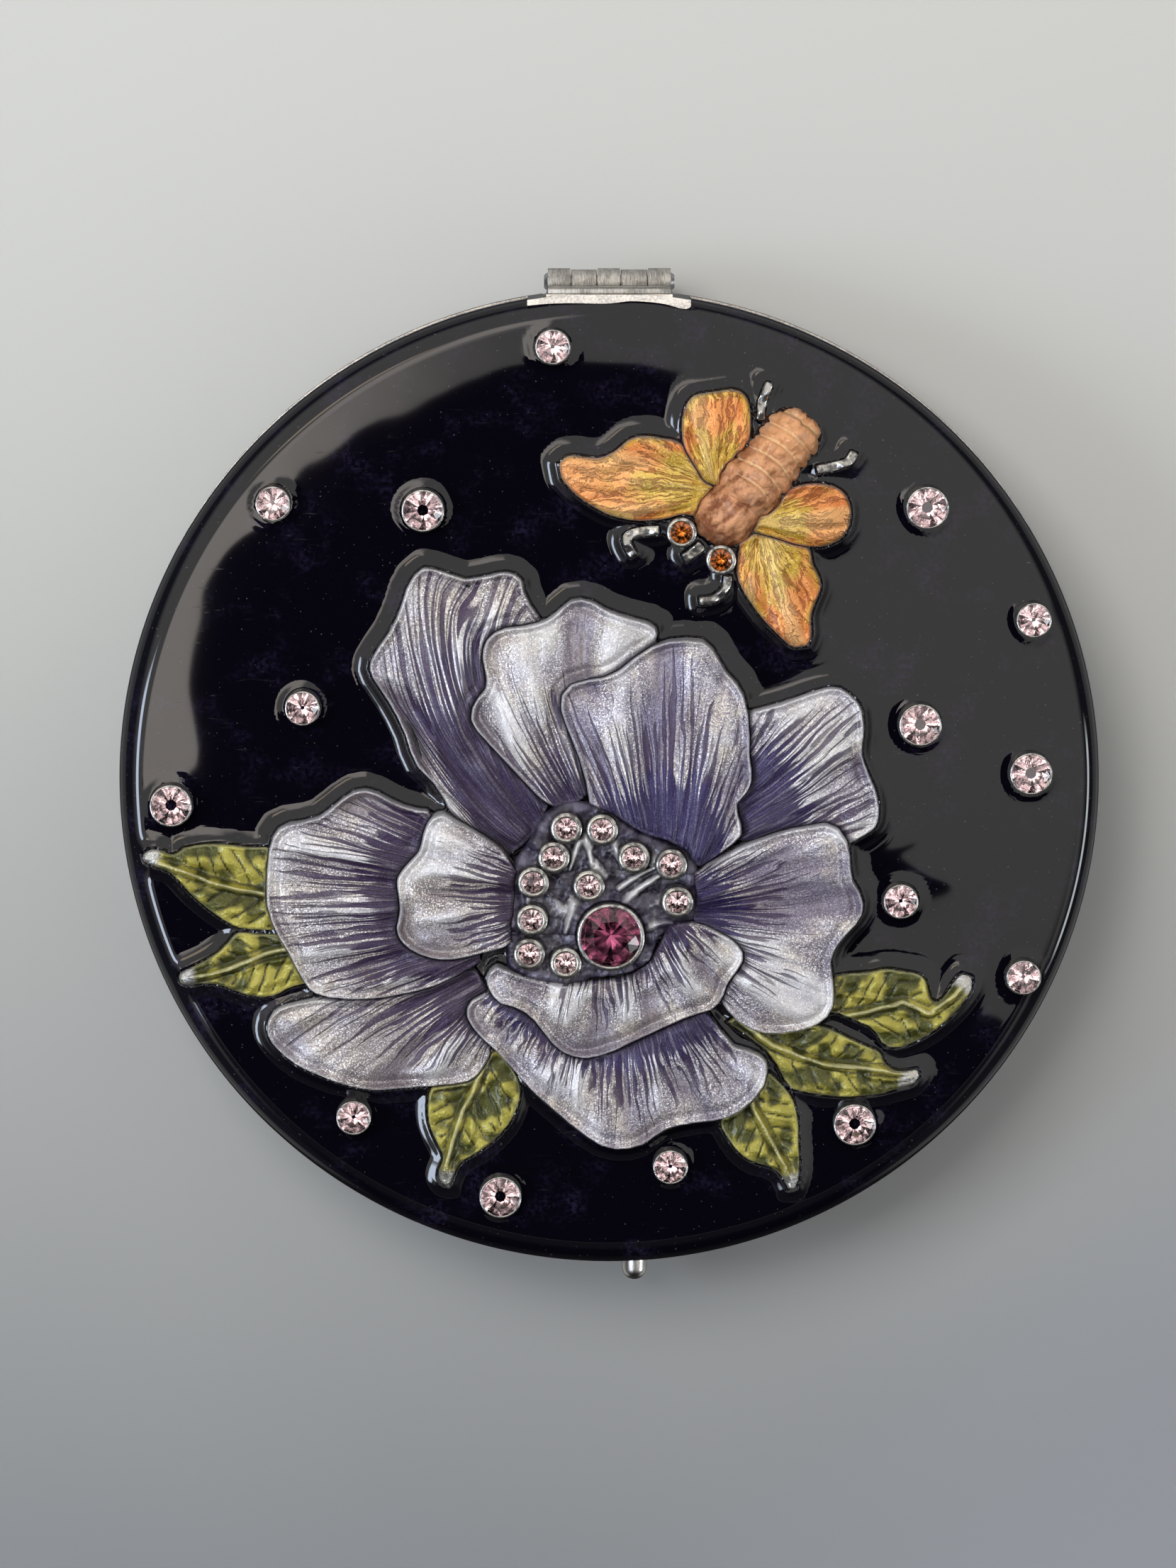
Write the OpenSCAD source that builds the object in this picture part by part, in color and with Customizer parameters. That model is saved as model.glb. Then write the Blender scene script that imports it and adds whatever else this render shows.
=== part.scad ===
// Round compact mirror with a flower and a moth in relief on its lid.
// The underside rests on z = 0, the hinge is at +Y and the push button at -Y.

/* [Case] */
// Diameter of the lid over its enamel
lid_d = 70; // [68:0.5:74]
// How far the base's wall sits inside the lid's edge
base_inset = 0.4; // [0.2:0.1:0.6]
// Height of the base from its underside to the parting line
base_h = 5.2; // [5:0.1:5.6]
// Gap at the parting line
parting_gap = 0.2; // [0.15:0.05:0.25]
// Height of the lid's metal from the parting line to its deck
lid_h = 4.2; // [4:0.1:4.6]
// Thickness of the upright walls
wall = 1.6; // [1.4:0.1:1.7]
// Thickness of the base's floor and of the lid's deck
plate_t = 1; // [0.8:0.1:1]
// Radius of the rounding under the base
base_round = 1.8; // [1:0.1:2.4]

/* [Enamel] */
// Thickness of the enamel over the lid
enamel_t = 0.4; // [0.3:0.05:0.5]
// Radius of the enamelled shoulder
shoulder_r = 1.8; // [1.4:0.1:2]
// Height of the line of bare metal under the enamel
bare_line_h = 0.7; // [0.5:0.1:0.9]
// Depth of the bare strip of metal behind the enamel, at the hinge
bare_strip = 0.6; // [0.6:0.05:0.75]

/* [Mirrors] */
// Diameter of both mirrors
mirror_d = 58; // [56:0.5:58]
// Thickness of the mirror glass
mirror_t = 1.5; // [1.3:0.1:1.6]
// Thickness of the pad behind each mirror
pad_t = 0.4; // [0.3:0.05:0.5]
// Hollow at the middle of the magnifying mirror in the base
magnifier_dip = 0.5; // [0.3:0.1:0.7]
// Thickness of the retaining rings
ring_t = 0.8; // [0.6:0.1:0.8]

/* [Hinge] */
// Outer diameter of the knuckles
knuckle_d = 1.9; // [1.8:0.05:1.9]
// Diameter of the hinge pin
pin_d = 0.9; // [0.8:0.05:0.9]
// Thickness of the two leaves
leaf_t = 0.4; // [0.3:0.05:0.45]
// Width of the bare strip of metal over the hinge
hinge_flat_w = 11.6; // [10.6:0.1:11.8]
// How far the pin stands behind the flat that the leaves are soldered to
pin_behind = 0.6; // [0.6:0.05:0.8]

/* [Catch] */
// Diameter of the push button
button_d = 1.8; // [1.5:0.1:2]
// How far the button stands to the right of the middle
button_x = 1.86; // [0:0.01:2]
// How far the button stands out of the base
button_proud = 2.7; // [2.2:0.1:2.9]
// Travel of the button
button_travel = 0.8; // [0.6:0.05:0.8]
// How far the hook reaches under the catch
catch_bite = 0.35; // [0.2:0.05:0.4]

/* [Relief] */
// How far the whole relief lies from the lid's middle towards the hinge
relief_shift = 0.5; // [0:0.1:0.5]
// Height of the lowest petals' rims above the deck
petal_low = 1.3; // [1.1:0.1:1.5]
// Step from one layer of petals to the next
petal_step = 0.5; // [0.3:0.05:0.6]
// Height of the leaves above the deck
leaf_high = 1.1; // [0.9:0.1:1.3]
// Height of the moth's wings above the deck
wing_high = 1.4; // [1.1:0.1:1.6]
// Height of the flower's middle above the deck
boss_h = 1.8; // [1.6:0.1:1.9]
// Gap between neighbouring pieces of the relief
relief_gap = 0.05; // [0.03:0.01:0.08]

/* [Stones] */
// Diameter of the stone in the flower's middle
centre_stone_d = 4.4; // [4:0.1:4.6]
// Diameter of the small stones round it and of the moth's eyes
small_stone_d = 1.7; // [1.5:0.1:1.8]
// Diameter of the larger scattered stones
large_scatter_d = 2.8; // [2.6:0.1:3]
// Diameter of the smaller scattered stones
small_scatter_d = 2.3; // [2:0.1:2.5]
// Thickness of the bezels' walls
bezel_t = 0.22; // [0.18:0.02:0.26]

/* [Hidden] */

FINE = 96;
ARC_STEPS = 6;
FIT = 0.05;
TOUCH = 0.02;

// Case
lid_r = lid_d/2;
base_r = lid_r - base_inset;
lid_low = base_h + parting_gap;
deck_z = lid_low + lid_h;
enamel_z = deck_z + enamel_t;
lid_under = deck_z - plate_t;
inner_r = base_r - wall;
hinge_flat_y = lid_r - 0.1;
inside_round = 0.8;

// Mirrors
mirror_r = mirror_d/2;
ring_in = mirror_r + FIT;
ring_out = ring_in + ring_t;
ring_lip_in = mirror_r - 0.7;
ring_lip_t = 0.33;
base_glass_top = plate_t + pad_t + mirror_t;
lid_glass_low = lid_under - pad_t - mirror_t;

// Hinge
KNUCKLES = [1.6, 1.83, 1.6, 1.9, 1.6];
KNUCKLE_GAP = 0.05;
hinge_w = sum(KNUCKLES, 5) + 4*KNUCKLE_GAP;
hinge_z = base_h + parting_gap/2;
hinge_y = hinge_flat_y + pin_behind;
groove_d = knuckle_d + 0.3;
groove_w = hinge_w + 0.8;
seat_from = inner_r + 0.6;
seat_w = hinge_w + 0.2;
leaf_reach = 1.1;
base_leaf_low = 1.4;
lid_leaf_top = deck_z - 0.4;

// Catch
button_z = 3.8;
plate_y = -(inner_r - 1);
plate_thick = 0.5;
catch_w = 6;
guide_y = plate_y + plate_thick + button_travel + 0.3;
guide_t = 0.35;
hook_w = 2;
hook_low = lid_low + 0.05;
tooth_h = 0.45;
lip_z = hook_low + tooth_h + 0.05;
lip_h = 0.5;
lip_y = plate_y - catch_bite - 0.1;

// Edge of the enamel along the bare strip: place across the hinge, and depth as a share of the strip's
STRIP_EDGE = [[-5.8, 1.3], [-4.2, 1.05], [-2.4, 1], [-0.3, 1.05], [0.7, 0.9], [1.5, 0.75],
    [2.7, 0.85], [3.9, 1.1], [5, 1.6], [5.5, 1.65], [5.75, 1.38]];
STRIP_STEPS = 24;

// Relief: every outline is drawn for a lid 70 across and scales with it
k = lid_d/70;
CURVE_COLS = 34;
PETAL_ROWS = 5;
LEAF_COLS = 20;

// Petals, from the top layer down: outer edge clockwise, root edge clockwise, layer, waves of the rim
PETALS = [
    [[[-1.4, -1.6], [-1.8, 0.6], [-2.5, 2.6], [-3.1, 4.1], [-3.5, 5.6], [-2.9, 6.8], [-1.3, 7.3], [0.2, 7.6],
      [1.6, 8.7], [3.3, 9.75], [4.9, 10.1], [6.6, 10.05], [7.5, 9.2], [8.1, 8], [9.1, 6.9],
      [9.7, 5.6], [9.95, 3.6], [9.95, 1.8], [10.15, 0.4], [9.9, -0.6], [9, -1.8], [9.3, -2.8],
      [9.45, -3.8], [8.7, -4.6], [7.6, -5.4], [6.4, -6.2]],
     [[0.3, -2.4], [1.5, -3.2], [2.8, -3.9], [4.2, -4.3], [5.4, -5]], 2, 3],
    [[[4.9, -10.1], [6.4, -10.2], [8, -10.9], [9.1, -11.6], [9.65, -12.6], [9.2, -13.6],
      [8.5, -14.5], [8.1, -15.6], [7.3, -16.5], [5.8, -16.95], [4, -17.75], [2, -18.65],
      [0, -19.6], [-1.6, -20], [-3, -19.75], [-4.2, -18.8], [-5.2, -17.4], [-6.4, -16.4],
      [-7.8, -16], [-8.6, -15], [-8.75, -14], [-8, -13.3]],
     [[4.2, -10.3], [3.3, -12.2], [1.6, -13.9], [-1.4, -14.4], [-4, -14.5], [-6.2, -14]], 2, 4],
    [[[-7.6, -12], [-9.5, -12.5], [-11.2, -12.85], [-13, -12.7], [-14.5, -11.9], [-15.15, -10.8],
      [-14.9, -9.4], [-15, -8.2], [-15.1, -7], [-14.3, -5.9], [-13.5, -5], [-13.2, -3.7],
      [-12.7, -2.7], [-11.9, -2.3], [-11.1, -2.7], [-9.5, -3.6], [-7.6, -4.9]],
     [[-6.7, -11.4], [-6.7, -9.6], [-6.5, -8], [-6.4, -6.8]], 2, 3],
    [[[6, -6.6], [7.6, -5.5], [9.3, -4.7], [11, -4.1], [12.6, -3.55], [14.3, -3.25],
      [15.9, -3.1], [16.9, -4.3], [17.15, -5.6], [17.25, -7], [17.9, -8.2], [18.1, -9.3],
      [17.6, -10.3], [16.5, -11.5], [15.8, -12.8], [16, -14.6], [16.05, -16], [15.5, -17.1],
      [14.3, -17.8], [12.4, -18.2], [10.7, -18.1], [9.3, -17.4], [8.3, -16.4], [7.6, -15.2],
      [6.9, -13.9]],
     [[6, -8.3], [6, -9.8], [6.2, -11.6]], 2, 4],
    [[[-5.1, -1.1], [-6.6, 0.5], [-8.8, 2.9], [-9.8, 4.2], [-9.6, 5.5], [-8.75, 6.6],
      [-8.8, 7.7], [-9, 8.9], [-8.7, 10], [-7.7, 10.8], [-6, 11.05], [-4.6, 11.4],
      [-3.6, 12.1], [-2.7, 12.85], [-1.4, 12.85], [0, 12.1], [1.6, 11.6], [3.1, 11.1],
      [3.4, 10.3], [2.6, 8], [1, 4.5], [0, 0.5]],
     [[-3.9, -2], [-3.1, -1.7], [-2.2, -1.6]], 1, 3],
    [[[-9.3, -13.2], [-10.9, -14.1], [-12.6, -14.9], [-14.5, -15.4], [-16.4, -15.75],
      [-18.4, -15.8], [-20.3, -15.6], [-21.4, -15.1], [-22.1, -14], [-22.9, -12.4],
      [-23.8, -10.8], [-24.4, -9], [-24.4, -7], [-24.2, -5], [-23.7, -3.7], [-22.7, -3.1],
      [-20.9, -2.8], [-19.6, -1.9], [-18.3, -0.9], [-17, -0.7], [-15.6, -1.4], [-14.2, -2],
      [-12.9, -2.2]],
     [[-9, -11.6], [-9, -10], [-9, -8.4], [-9.4, -6.4]], 1, 5],
    [[[6.2, -15.8], [7.5, -17.4], [8.8, -19.1], [10.2, -19.6], [11.2, -20.2], [11.35, -21.2],
      [10.8, -22.6], [9.4, -23.9], [8, -24.55], [6.4, -24.75], [4.8, -25.05], [3.7, -25.5],
      [2.4, -26.4], [1, -26.7], [-0.4, -26.5], [-1.9, -25.6], [-3.7, -24.1], [-5.3, -22.7],
      [-6.7, -21.1], [-8, -19.6], [-9.3, -18.4], [-10.1, -17.3], [-10.15, -16.4],
      [-9.4, -15.6], [-7.6, -15]],
     [[3.6, -17.2], [0.5, -18.2], [-2.4, -18.6], [-5, -16.6]], 1, 4],
    [[[8.8, 4.6], [11.5, 5.3], [13, 5.75], [14.7, 6.35], [16.1, 6.6], [17.2, 6], [17.95, 5],
      [18.1, 3.3], [17.95, 1.9], [18.4, 0.5], [19, -0.9], [19.2, -2.1], [19.05, -3.3],
      [18.4, -3.9], [17.4, -4.5], [16, -5.2], [13, -6]],
     [[7.6, 2.4], [7.8, -1], [9, -4.2]], 0, 3],
    [[[-11.2, -2.7], [-12.2, -0.6], [-13.8, 1.1], [-14.4, 3], [-15.3, 4.9], [-16.3, 6.5],
      [-17, 7.7], [-16.8, 8.8], [-15.7, 10.4], [-14.9, 12], [-14.3, 13.8], [-13.3, 15.1],
      [-11.9, 14.9], [-10.1, 14.3], [-8.2, 14.7], [-7.1, 14.8], [-6.2, 14.3], [-5.9, 13],
      [-4.6, 11], [-3.6, 8], [-3.2, 4], [-3.6, 0]],
     [[-7.4, -5.6], [-6.2, -4.8], [-5, -3.6]], 0, 3],
    [[[-8.8, -18], [-8.4, -19.4], [-8.9, -20.7], [-9.9, -21.8], [-11.4, -22.1], [-13.5, -22.3],
      [-15.6, -22.45], [-17, -22.5], [-18.6, -22.2], [-20.4, -21.6], [-22.2, -20.8],
      [-23.6, -19.7], [-24.35, -18.7], [-24.45, -17.7], [-23.9, -16.7], [-22.8, -16.2],
      [-20.5, -15.7], [-17, -14.8], [-13.2, -14.2]],
     [[-8.6, -16.8], [-8.7, -15.2], [-9.6, -13.7]], 0, 3]];

// Outline of the flower's middle, which the petals' roots meet
MIDDLE = [[-6.9, -13.2], [-6.9, -11], [-6.7, -8.6], [-6.5, -6.4], [-5.2, -4.4], [-4.3, -2.7],
    [-3, -2], [-1.7, -2], [-0.3, -2.2], [1, -3.4], [2.2, -4.1], [3.8, -4.7], [5.5, -5.2],
    [5.9, -6.6], [6.1, -8.2], [5.9, -9.6], [4.4, -10], [3.4, -11.6], [3, -12.8], [1.6, -13.8],
    [-0.8, -14.2], [-3.2, -14.3], [-5.6, -13.9]];

// Leaves, upper ones first: one edge and the other, both from the root to the tip
LEAVES = [
    [[[15, -14.5], [17, -14.1], [18.5, -14], [19.8, -13.75], [21.2, -13.95], [22.3, -14.2],
      [22.75, -14.9], [22.95, -15.8], [23.4, -16.2], [24, -15.7], [24.5, -14.8], [25.1, -14.05]],
     [[15, -17.2], [16.2, -16.9], [17.6, -17.5], [18.9, -18.1], [19.6, -19.2], [20.6, -19.5],
      [21.8, -19.1], [23.2, -18.3], [24.4, -17.3], [25.3, -16.3], [26, -15.2], [26, -14.3]]],
    [[[9.4, -17], [12.4, -17.6], [15.3, -17.9], [17, -18.7], [18.5, -19.4], [19.4, -19.8],
      [19.7, -20.5], [20.5, -21.15], [21.4, -21.1], [22.1, -21]],
     [[8.4, -17.6], [11.4, -19.8], [12.8, -22.2], [14, -22.7], [15.8, -23], [17.5, -23.05],
      [19.2, -22.9], [20.7, -22.5], [21.8, -22.2], [22.3, -21.6]]],
    [[[11.4, -21.2], [12.6, -22.4], [13.2, -23.3], [13.55, -24.7], [13.6, -26.2],
      [13.7, -27.8], [13.65, -29], [13.4, -29.8]],
     [[9, -23], [8, -24.8], [8.4, -25.9], [9.3, -27.1], [10.4, -27.85], [11.6, -28.2],
      [12.3, -28.8], [12.8, -29.9]]],
    [[[-8, -19.6], [-7.2, -20.6], [-6.5, -21.8], [-6.35, -23], [-6.9, -24.6], [-7.9, -25.9],
      [-9.2, -27], [-10.5, -27.75], [-11.05, -28.6], [-11.4, -29.6]],
     [[-12, -21], [-12.8, -22.5], [-13, -23.6], [-12.95, -24.8], [-12.6, -25.9],
      [-12.1, -26.9], [-11.9, -27.6], [-12.2, -28.3], [-12.3, -29], [-12, -29.5]]],
    [[[-23.6, -11], [-25.2, -10.9], [-26.5, -10.75], [-27.7, -10.1], [-28.9, -9.2],
      [-29.9, -8.3], [-30.6, -7.5], [-31.4, -6.75], [-32.4, -6.4], [-33.2, -6.05]],
     [[-23.8, -4.9], [-25.5, -4.95], [-27.2, -4.75], [-28.5, -4.7], [-29.4, -4.8],
      [-30.3, -5], [-31.1, -5.5], [-31.9, -5.15], [-32.8, -5.1], [-33.3, -5.5]]],
    [[[-21, -14.6], [-22.8, -15.1], [-24, -15.7], [-25.4, -15.75], [-26.6, -15.4],
      [-27.8, -14.95], [-29.2, -14.85], [-30.1, -15], [-30.7, -14.8]],
     [[-22.8, -11.2], [-25, -11.2], [-26.5, -11.1], [-27.2, -11.8], [-27.9, -12.5],
      [-28.8, -13.1], [-29.8, -13.6], [-30.4, -13.85], [-30.8, -14.2]]]];

// Wings: left hind, right hind, left fore, right fore, edges from the root to the tip
WINGS = [
    [[[7.6, 20.9], [6.7, 21.3], [6.2, 22.1], [5.75, 22.8], [5.25, 23.8], [5.1, 25.3], [5.4, 26.6],
      [5.9, 27.3], [6.6, 27.5]],
     [[9.3, 22.6], [9.75, 23.6], [9.95, 24.6], [10, 25.9], [9.8, 27], [9.3, 27.6], [8.6, 27.8]]],
    [[[11.6, 20.2], [12.7, 20.7], [13.8, 21.05], [15.1, 21.1], [16.3, 20.7], [16.95, 19.9],
      [17.15, 19]],
     [[9.6, 17.8], [10.8, 17.5], [11.9, 17.2], [13.1, 16.8], [14.3, 16.6], [15.3, 16.65],
      [16.4, 17.15], [17, 18]]],
    [[[7.2, 18.9], [5.9, 18.8], [5.1, 18.9], [4.1, 18.6], [3.2, 18.5], [1.9, 18.45], [0.3, 18.75],
      [-0.9, 19.3], [-2.3, 20.2], [-3.4, 21.4]],
     [[7.9, 21], [6.6, 22.4], [5, 24], [3.8, 24.3], [2.5, 24.5], [1.4, 24.25], [0.4, 23.4],
      [-0.8, 22.9], [-2, 23.05], [-3, 23.05], [-3.6, 22.5]]],
    [[[10.6, 18.2], [12, 17.3], [13.2, 17], [14.2, 16.4], [14.4, 15.4], [14.9, 14.4], [15, 13.6],
      [14.6, 12.6], [14.3, 11.6], [14.4, 10.4], [14.1, 9.5]],
     [[8.6, 17.6], [9.2, 16.7], [9.1, 15.9], [9, 14.9], [9.35, 13.7], [10.1, 12.5], [11, 11.3],
      [11.9, 10.4], [12.7, 9.6], [13.2, 9.4]]]];

// Moth's body: distance from the head and radius, in segments towards the tail
BODY = [[0, 0.9], [0.7, 1.75], [1.8, 2.1], [3, 2], [3.5, 1.75], [4.1, 2.2], [5.1, 2.35],
    [5.3, 2.15], [6.2, 2.25], [6.4, 2.05], [7.3, 2.15], [7.5, 1.95], [8.4, 2.05], [8.6, 1.85],
    [9.6, 1.95], [10.4, 1.7], [11, 1]];
BODY_HEAD = [7, 17.2];
BODY_TURN = 51;
BODY_LIFT = 0.1;

// Feelers: points of each one's middle line, from the body outwards, and its width
FEELERS = [
    [[[3.5, 17.8], [1.9, 17.6], [1.2, 17.1], [1.7, 16]], 0.55],
    [[[8.4, 14.5], [8.25, 13.7], [7.5, 12.95], [6.4, 12.75]], 0.5],
    [[[6.5, 16.7], [5.9, 16.2], [5.3, 15.8]], 0.6],
    [[[10.7, 25.7], [10.8, 26.9], [11.3, 28.2]], 0.45],
    [[[14.7, 22.1], [15.8, 22.3], [16.8, 22.6], [17.3, 23.3]], 0.5]];
FEELER_H = 1;
FEELER_STEPS = 10;

// Stones: places of their middles
FLOWER_STONES = [[-3.05, -3.3], [-0.5, -3.4], [-3.95, -5.4], [1.75, -5.4], [4.4, -5.9],
    [-5.4, -7.2], [-1.45, -7.45], [4.85, -8.6], [-5.5, -9.9], [-5.7, -12.35], [-3.1, -13]];
EYES = [[5.1, 17.7], [7.9, 15.75]];
CENTRE_STONE = [0.1, -11.1];
LARGE_SCATTER = [[-13.2, 19.2], [22.5, 19.4], [-31.2, -1.9], [22.1, 3.9], [30, 0.4],
    [17.6, -25], [-7.8, -30.3]];
SMALL_SCATTER = [[-4, 30.8], [-23.8, 19.7], [-21.8, 5.1], [30.1, 11.4], [20.8, -8.8],
    [29.6, -14.3], [4.4, -28.1], [-18.3, -24.5]];
boss_z = deck_z + boss_h;
small_girdle = boss_z + 0.78;
centre_girdle = deck_z + 2.7;
scatter_girdle = deck_z + 1.2;
eye_girdle = deck_z + 1.6;

// Stone as fractions of its diameter
PAVILION = 0.4;
CROWN = 0.16;
TABLE = 0.3;

function sum(list, n) = n == 0 ? 0 : list[n - 1] + sum(list, n - 1);
function arc(x, y, r, from, to) =
    [for (i = [0:ARC_STEPS]) let (a = from + (to - from)*i/ARC_STEPS) [x + r*cos(a), y + r*sin(a)]];
function knuckle_x(i) = -hinge_w/2 + sum(KNUCKLES, i) + i*KNUCKLE_GAP;

// Point on a smooth curve through the points p, where u runs from 0 to 1
function knot(p, i) = p[max(0, min(len(p) - 1, i))];
function span_point(a, b, c, d, t) =
    0.5*(2*b + (c - a)*t + (2*a - 5*b + 4*c - d)*t*t + (3*b - a - 3*c + d)*t*t*t);
function along(p, u) =
    let (s = u*(len(p) - 1), i = min(floor(s), len(p) - 2))
    span_point(knot(p, i - 1), knot(p, i), knot(p, i + 1), knot(p, i + 2), s - i);
function smooth(p, n) = [for (i = [0:n]) along(p, i/n)];

// Point of the relief's drawing, placed on the lid
function on_lid(p) = [k*p[0], k*p[1] + relief_shift];
module drawn(points) {
    polygon([for (p = points) on_lid(p)]);
}

// Height of a petal above the deck: s runs from root to rim, u from side to side
function petal_height(s, u, layer, waves) =
    let (rim = petal_low + layer*petal_step,
         crest = rim + 0.5,
         root = rim - 0.1,
         side = 1 - pow(2*u - 1, 6))
    root*(1 - s)*(1 - s) + 2*crest*s*(1 - s) + (rim - 0.12)*s*s
        + 0.12*s*side*sin(360*waves*u);

// Height across a leaf or a wing: v runs from edge to edge, with a rib in the middle
LEAF_ACROSS = [[0, 0.7], [0.2, 0.98], [0.42, 0.82], [0.5, 1.12], [0.58, 0.82], [0.8, 0.98], [1, 0.7]];
WING_ACROSS = [[0, 0.75], [0.15, 1], [0.33, 0.9], [0.5, 1.04], [0.67, 0.9], [0.85, 1], [1, 0.75]];

// Closed block under a grid of points, rows by columns, down to the deck
module block_under(grid) {
    rows = len(grid);
    cols = len(grid[0]);
    top = [for (row = grid) for (p = row) p];
    low = [for (row = [grid[0], grid[rows - 1]]) for (p = row) [p[0], p[1], deck_z]];
    first = rows*cols;
    last = first + cols;
    lid_faces = [for (j = [0:rows - 2]) for (i = [0:cols - 2]) let (a = j*cols + i)
        each [[a, a + cols, a + cols + 1], [a, a + cols + 1, a + 1]]];
    floor_faces = [for (i = [0:cols - 2])
        each [[first + i, first + i + 1, last + i + 1], [first + i, last + i + 1, last + i]]];
    near_faces = [for (i = [0:cols - 2])
        each [[first + i, i, i + 1], [first + i, i + 1, first + i + 1]]];
    far = (rows - 1)*cols;
    far_faces = [for (i = [0:cols - 2])
        each [[last + i, far + i + 1, far + i], [last + i, last + i + 1, far + i + 1]]];
    left_faces = concat([for (j = [0:rows - 2]) [first, (j + 1)*cols, j*cols]],
        [[first, last, far]]);
    end = cols - 1;
    right_faces = concat([for (j = [0:rows - 2]) [first + end, j*cols + end, (j + 1)*cols + end]],
        [[first + end, far + end, last + end]]);
    polyhedron(concat(top, low),
        concat(lid_faces, floor_faces, near_faces, far_faces, left_faces, right_faces));
}

module petal_block(petal) {
    grid = [for (j = [0:PETAL_ROWS]) [for (i = [0:CURVE_COLS])
        let (s = j/PETAL_ROWS, u = i/CURVE_COLS, a = along(petal[1], u), b = along(petal[0], u),
             p = on_lid(a + (b - a)*s))
        [p[0], p[1], deck_z + petal_height(s, u, petal[2], petal[3])]]];
    block_under(grid);
}

module petal_footprint(petal) {
    outer = smooth(petal[0], CURVE_COLS);
    inner = smooth(petal[1], CURVE_COLS);
    drawn(concat(outer, [for (i = [CURVE_COLS:-1:0]) inner[i]]));
}

module vein_block(edges, across, h) {
    grid = [for (v = across) [for (i = [0:LEAF_COLS])
        let (u = i/LEAF_COLS, a = along(edges[0], u), b = along(edges[1], u),
             p = on_lid(a + (b - a)*v[0]), taper = 1 - 0.35*pow(u, 4))
        [p[0], p[1], deck_z + h*v[1]*taper]]];
    block_under(grid);
}

module vein_footprint(edges) {
    one = smooth(edges[0], LEAF_COLS);
    other = smooth(edges[1], LEAF_COLS);
    drawn(concat(one, [for (i = [LEAF_COLS:-1:0]) other[i]]));
}

module middle_footprint() {
    drawn(smooth(concat(MIDDLE, [MIDDLE[0]]), 2*len(MIDDLE)));
}

module body_footprint() {
    translate(on_lid(BODY_HEAD)) rotate(BODY_TURN)
        scale(k) polygon(concat(BODY, [for (i = [len(BODY) - 1:-1:0]) [BODY[i][0], -BODY[i][1]]]));
}

// Everything that lies over the petal with this number
module over_petal(number) {
    offset(delta = relief_gap) {
        middle_footprint();
        for (i = [0:number - 1]) if (number > 0) petal_footprint(PETALS[i]);
    }
}

module petal(number) {
    resize([0, 0, 0]) difference() {
        petal_block(PETALS[number]);
        translate([0, 0, deck_z - 1]) linear_extrude(6) over_petal(number);
    }
}

module leaf(number) {
    resize([0, 0, 0]) difference() {
        vein_block(LEAVES[number], LEAF_ACROSS, leaf_high);
        translate([0, 0, deck_z - 1]) linear_extrude(6) {
            over_petal(len(PETALS));
            offset(delta = relief_gap)
                for (i = [0:number - 1]) if (number > 0) vein_footprint(LEAVES[i]);
        }
    }
}

module wing(number) {
    resize([0, 0, 0]) difference() {
        vein_block(WINGS[number], WING_ACROSS, wing_high);
        translate([0, 0, deck_z - 1]) linear_extrude(6) offset(delta = relief_gap) {
            body_footprint();
            for (i = [0:number - 1]) if (number > 0) vein_footprint(WINGS[i]);
        }
    }
}

module relief_footprint() {
    middle_footprint();
    for (p = PETALS) petal_footprint(p);
    for (e = LEAVES) vein_footprint(e);
    for (e = WINGS) vein_footprint(e);
    body_footprint();
    for (f = FEELERS) feeler_footprint(f);
}

// Strip of even width along a smooth line
module feeler_footprint(f) {
    line = [for (p = smooth(f[0], FEELER_STEPS)) on_lid(p)];
    side = [for (i = [0:FEELER_STEPS])
        let (d = line[min(i + 1, FEELER_STEPS)] - line[max(i - 1, 0)])
        f[1]/2*[-d[1], d[0]]/norm(d)];
    polygon(concat([for (i = [0:FEELER_STEPS]) line[i] + side[i]],
        [for (i = [FEELER_STEPS:-1:0]) line[i] - side[i]]));
}

// Cup that holds a stone of diameter d with its girdle at height z
module bezel(d, low, z) {
    seat = 0.08*d;
    step_z = z - 0.075*d;
    translate([0, 0, low]) difference() {
        cylinder(d = d + 2*bezel_t, h = z - low + 0.1, $fn = FINE);
        translate([0, 0, -1]) cylinder(d = d - 2*seat, h = 6, $fn = FINE);
        translate([0, 0, step_z - low]) cylinder(d = d + 2*TOUCH, h = 2, $fn = FINE);
    }
}

// Brilliant-cut stone with its girdle at height z
module stone(d, z) {
    translate([0, 0, z]) rotate_extrude($fn = FINE)
        polygon([[0, -PAVILION*d], [d/2, 0], [d/2, 0.02*d], [TABLE*d, CROWN*d], [0, CROWN*d]]);
}

// The same thing at each of these places on the lid
module at_places(places) {
    for (p = places) translate(on_lid(p)) children();
}

// Outer line of the lid's metal or enamel, from its lower edge over the shoulder to the middle
function lid_profile(r, low, top, round) =
    concat([[r, low]], arc(r - round, top - round, round, 0, 90), [[0, top]]);

// Room for the knuckles in the walls of both halves
module hinge_groove() {
    translate([-groove_w/2, hinge_y, hinge_z]) rotate([0, 90, 0])
        cylinder(d = groove_d, h = groove_w, $fn = FINE);
}

// Bare strip over the hinge, seen from above, reaching out past the lid's edge
module strip_footprint() {
    wide = hinge_flat_w/11.6;
    far_y = hinge_flat_y + 3;
    edge = [for (p = smooth(STRIP_EDGE, STRIP_STEPS)) [wide*p[0], hinge_flat_y - bare_strip*p[1]]];
    polygon(concat([[edge[0][0], far_y]], edge, [[edge[STRIP_STEPS][0], far_y]]));
}

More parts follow.
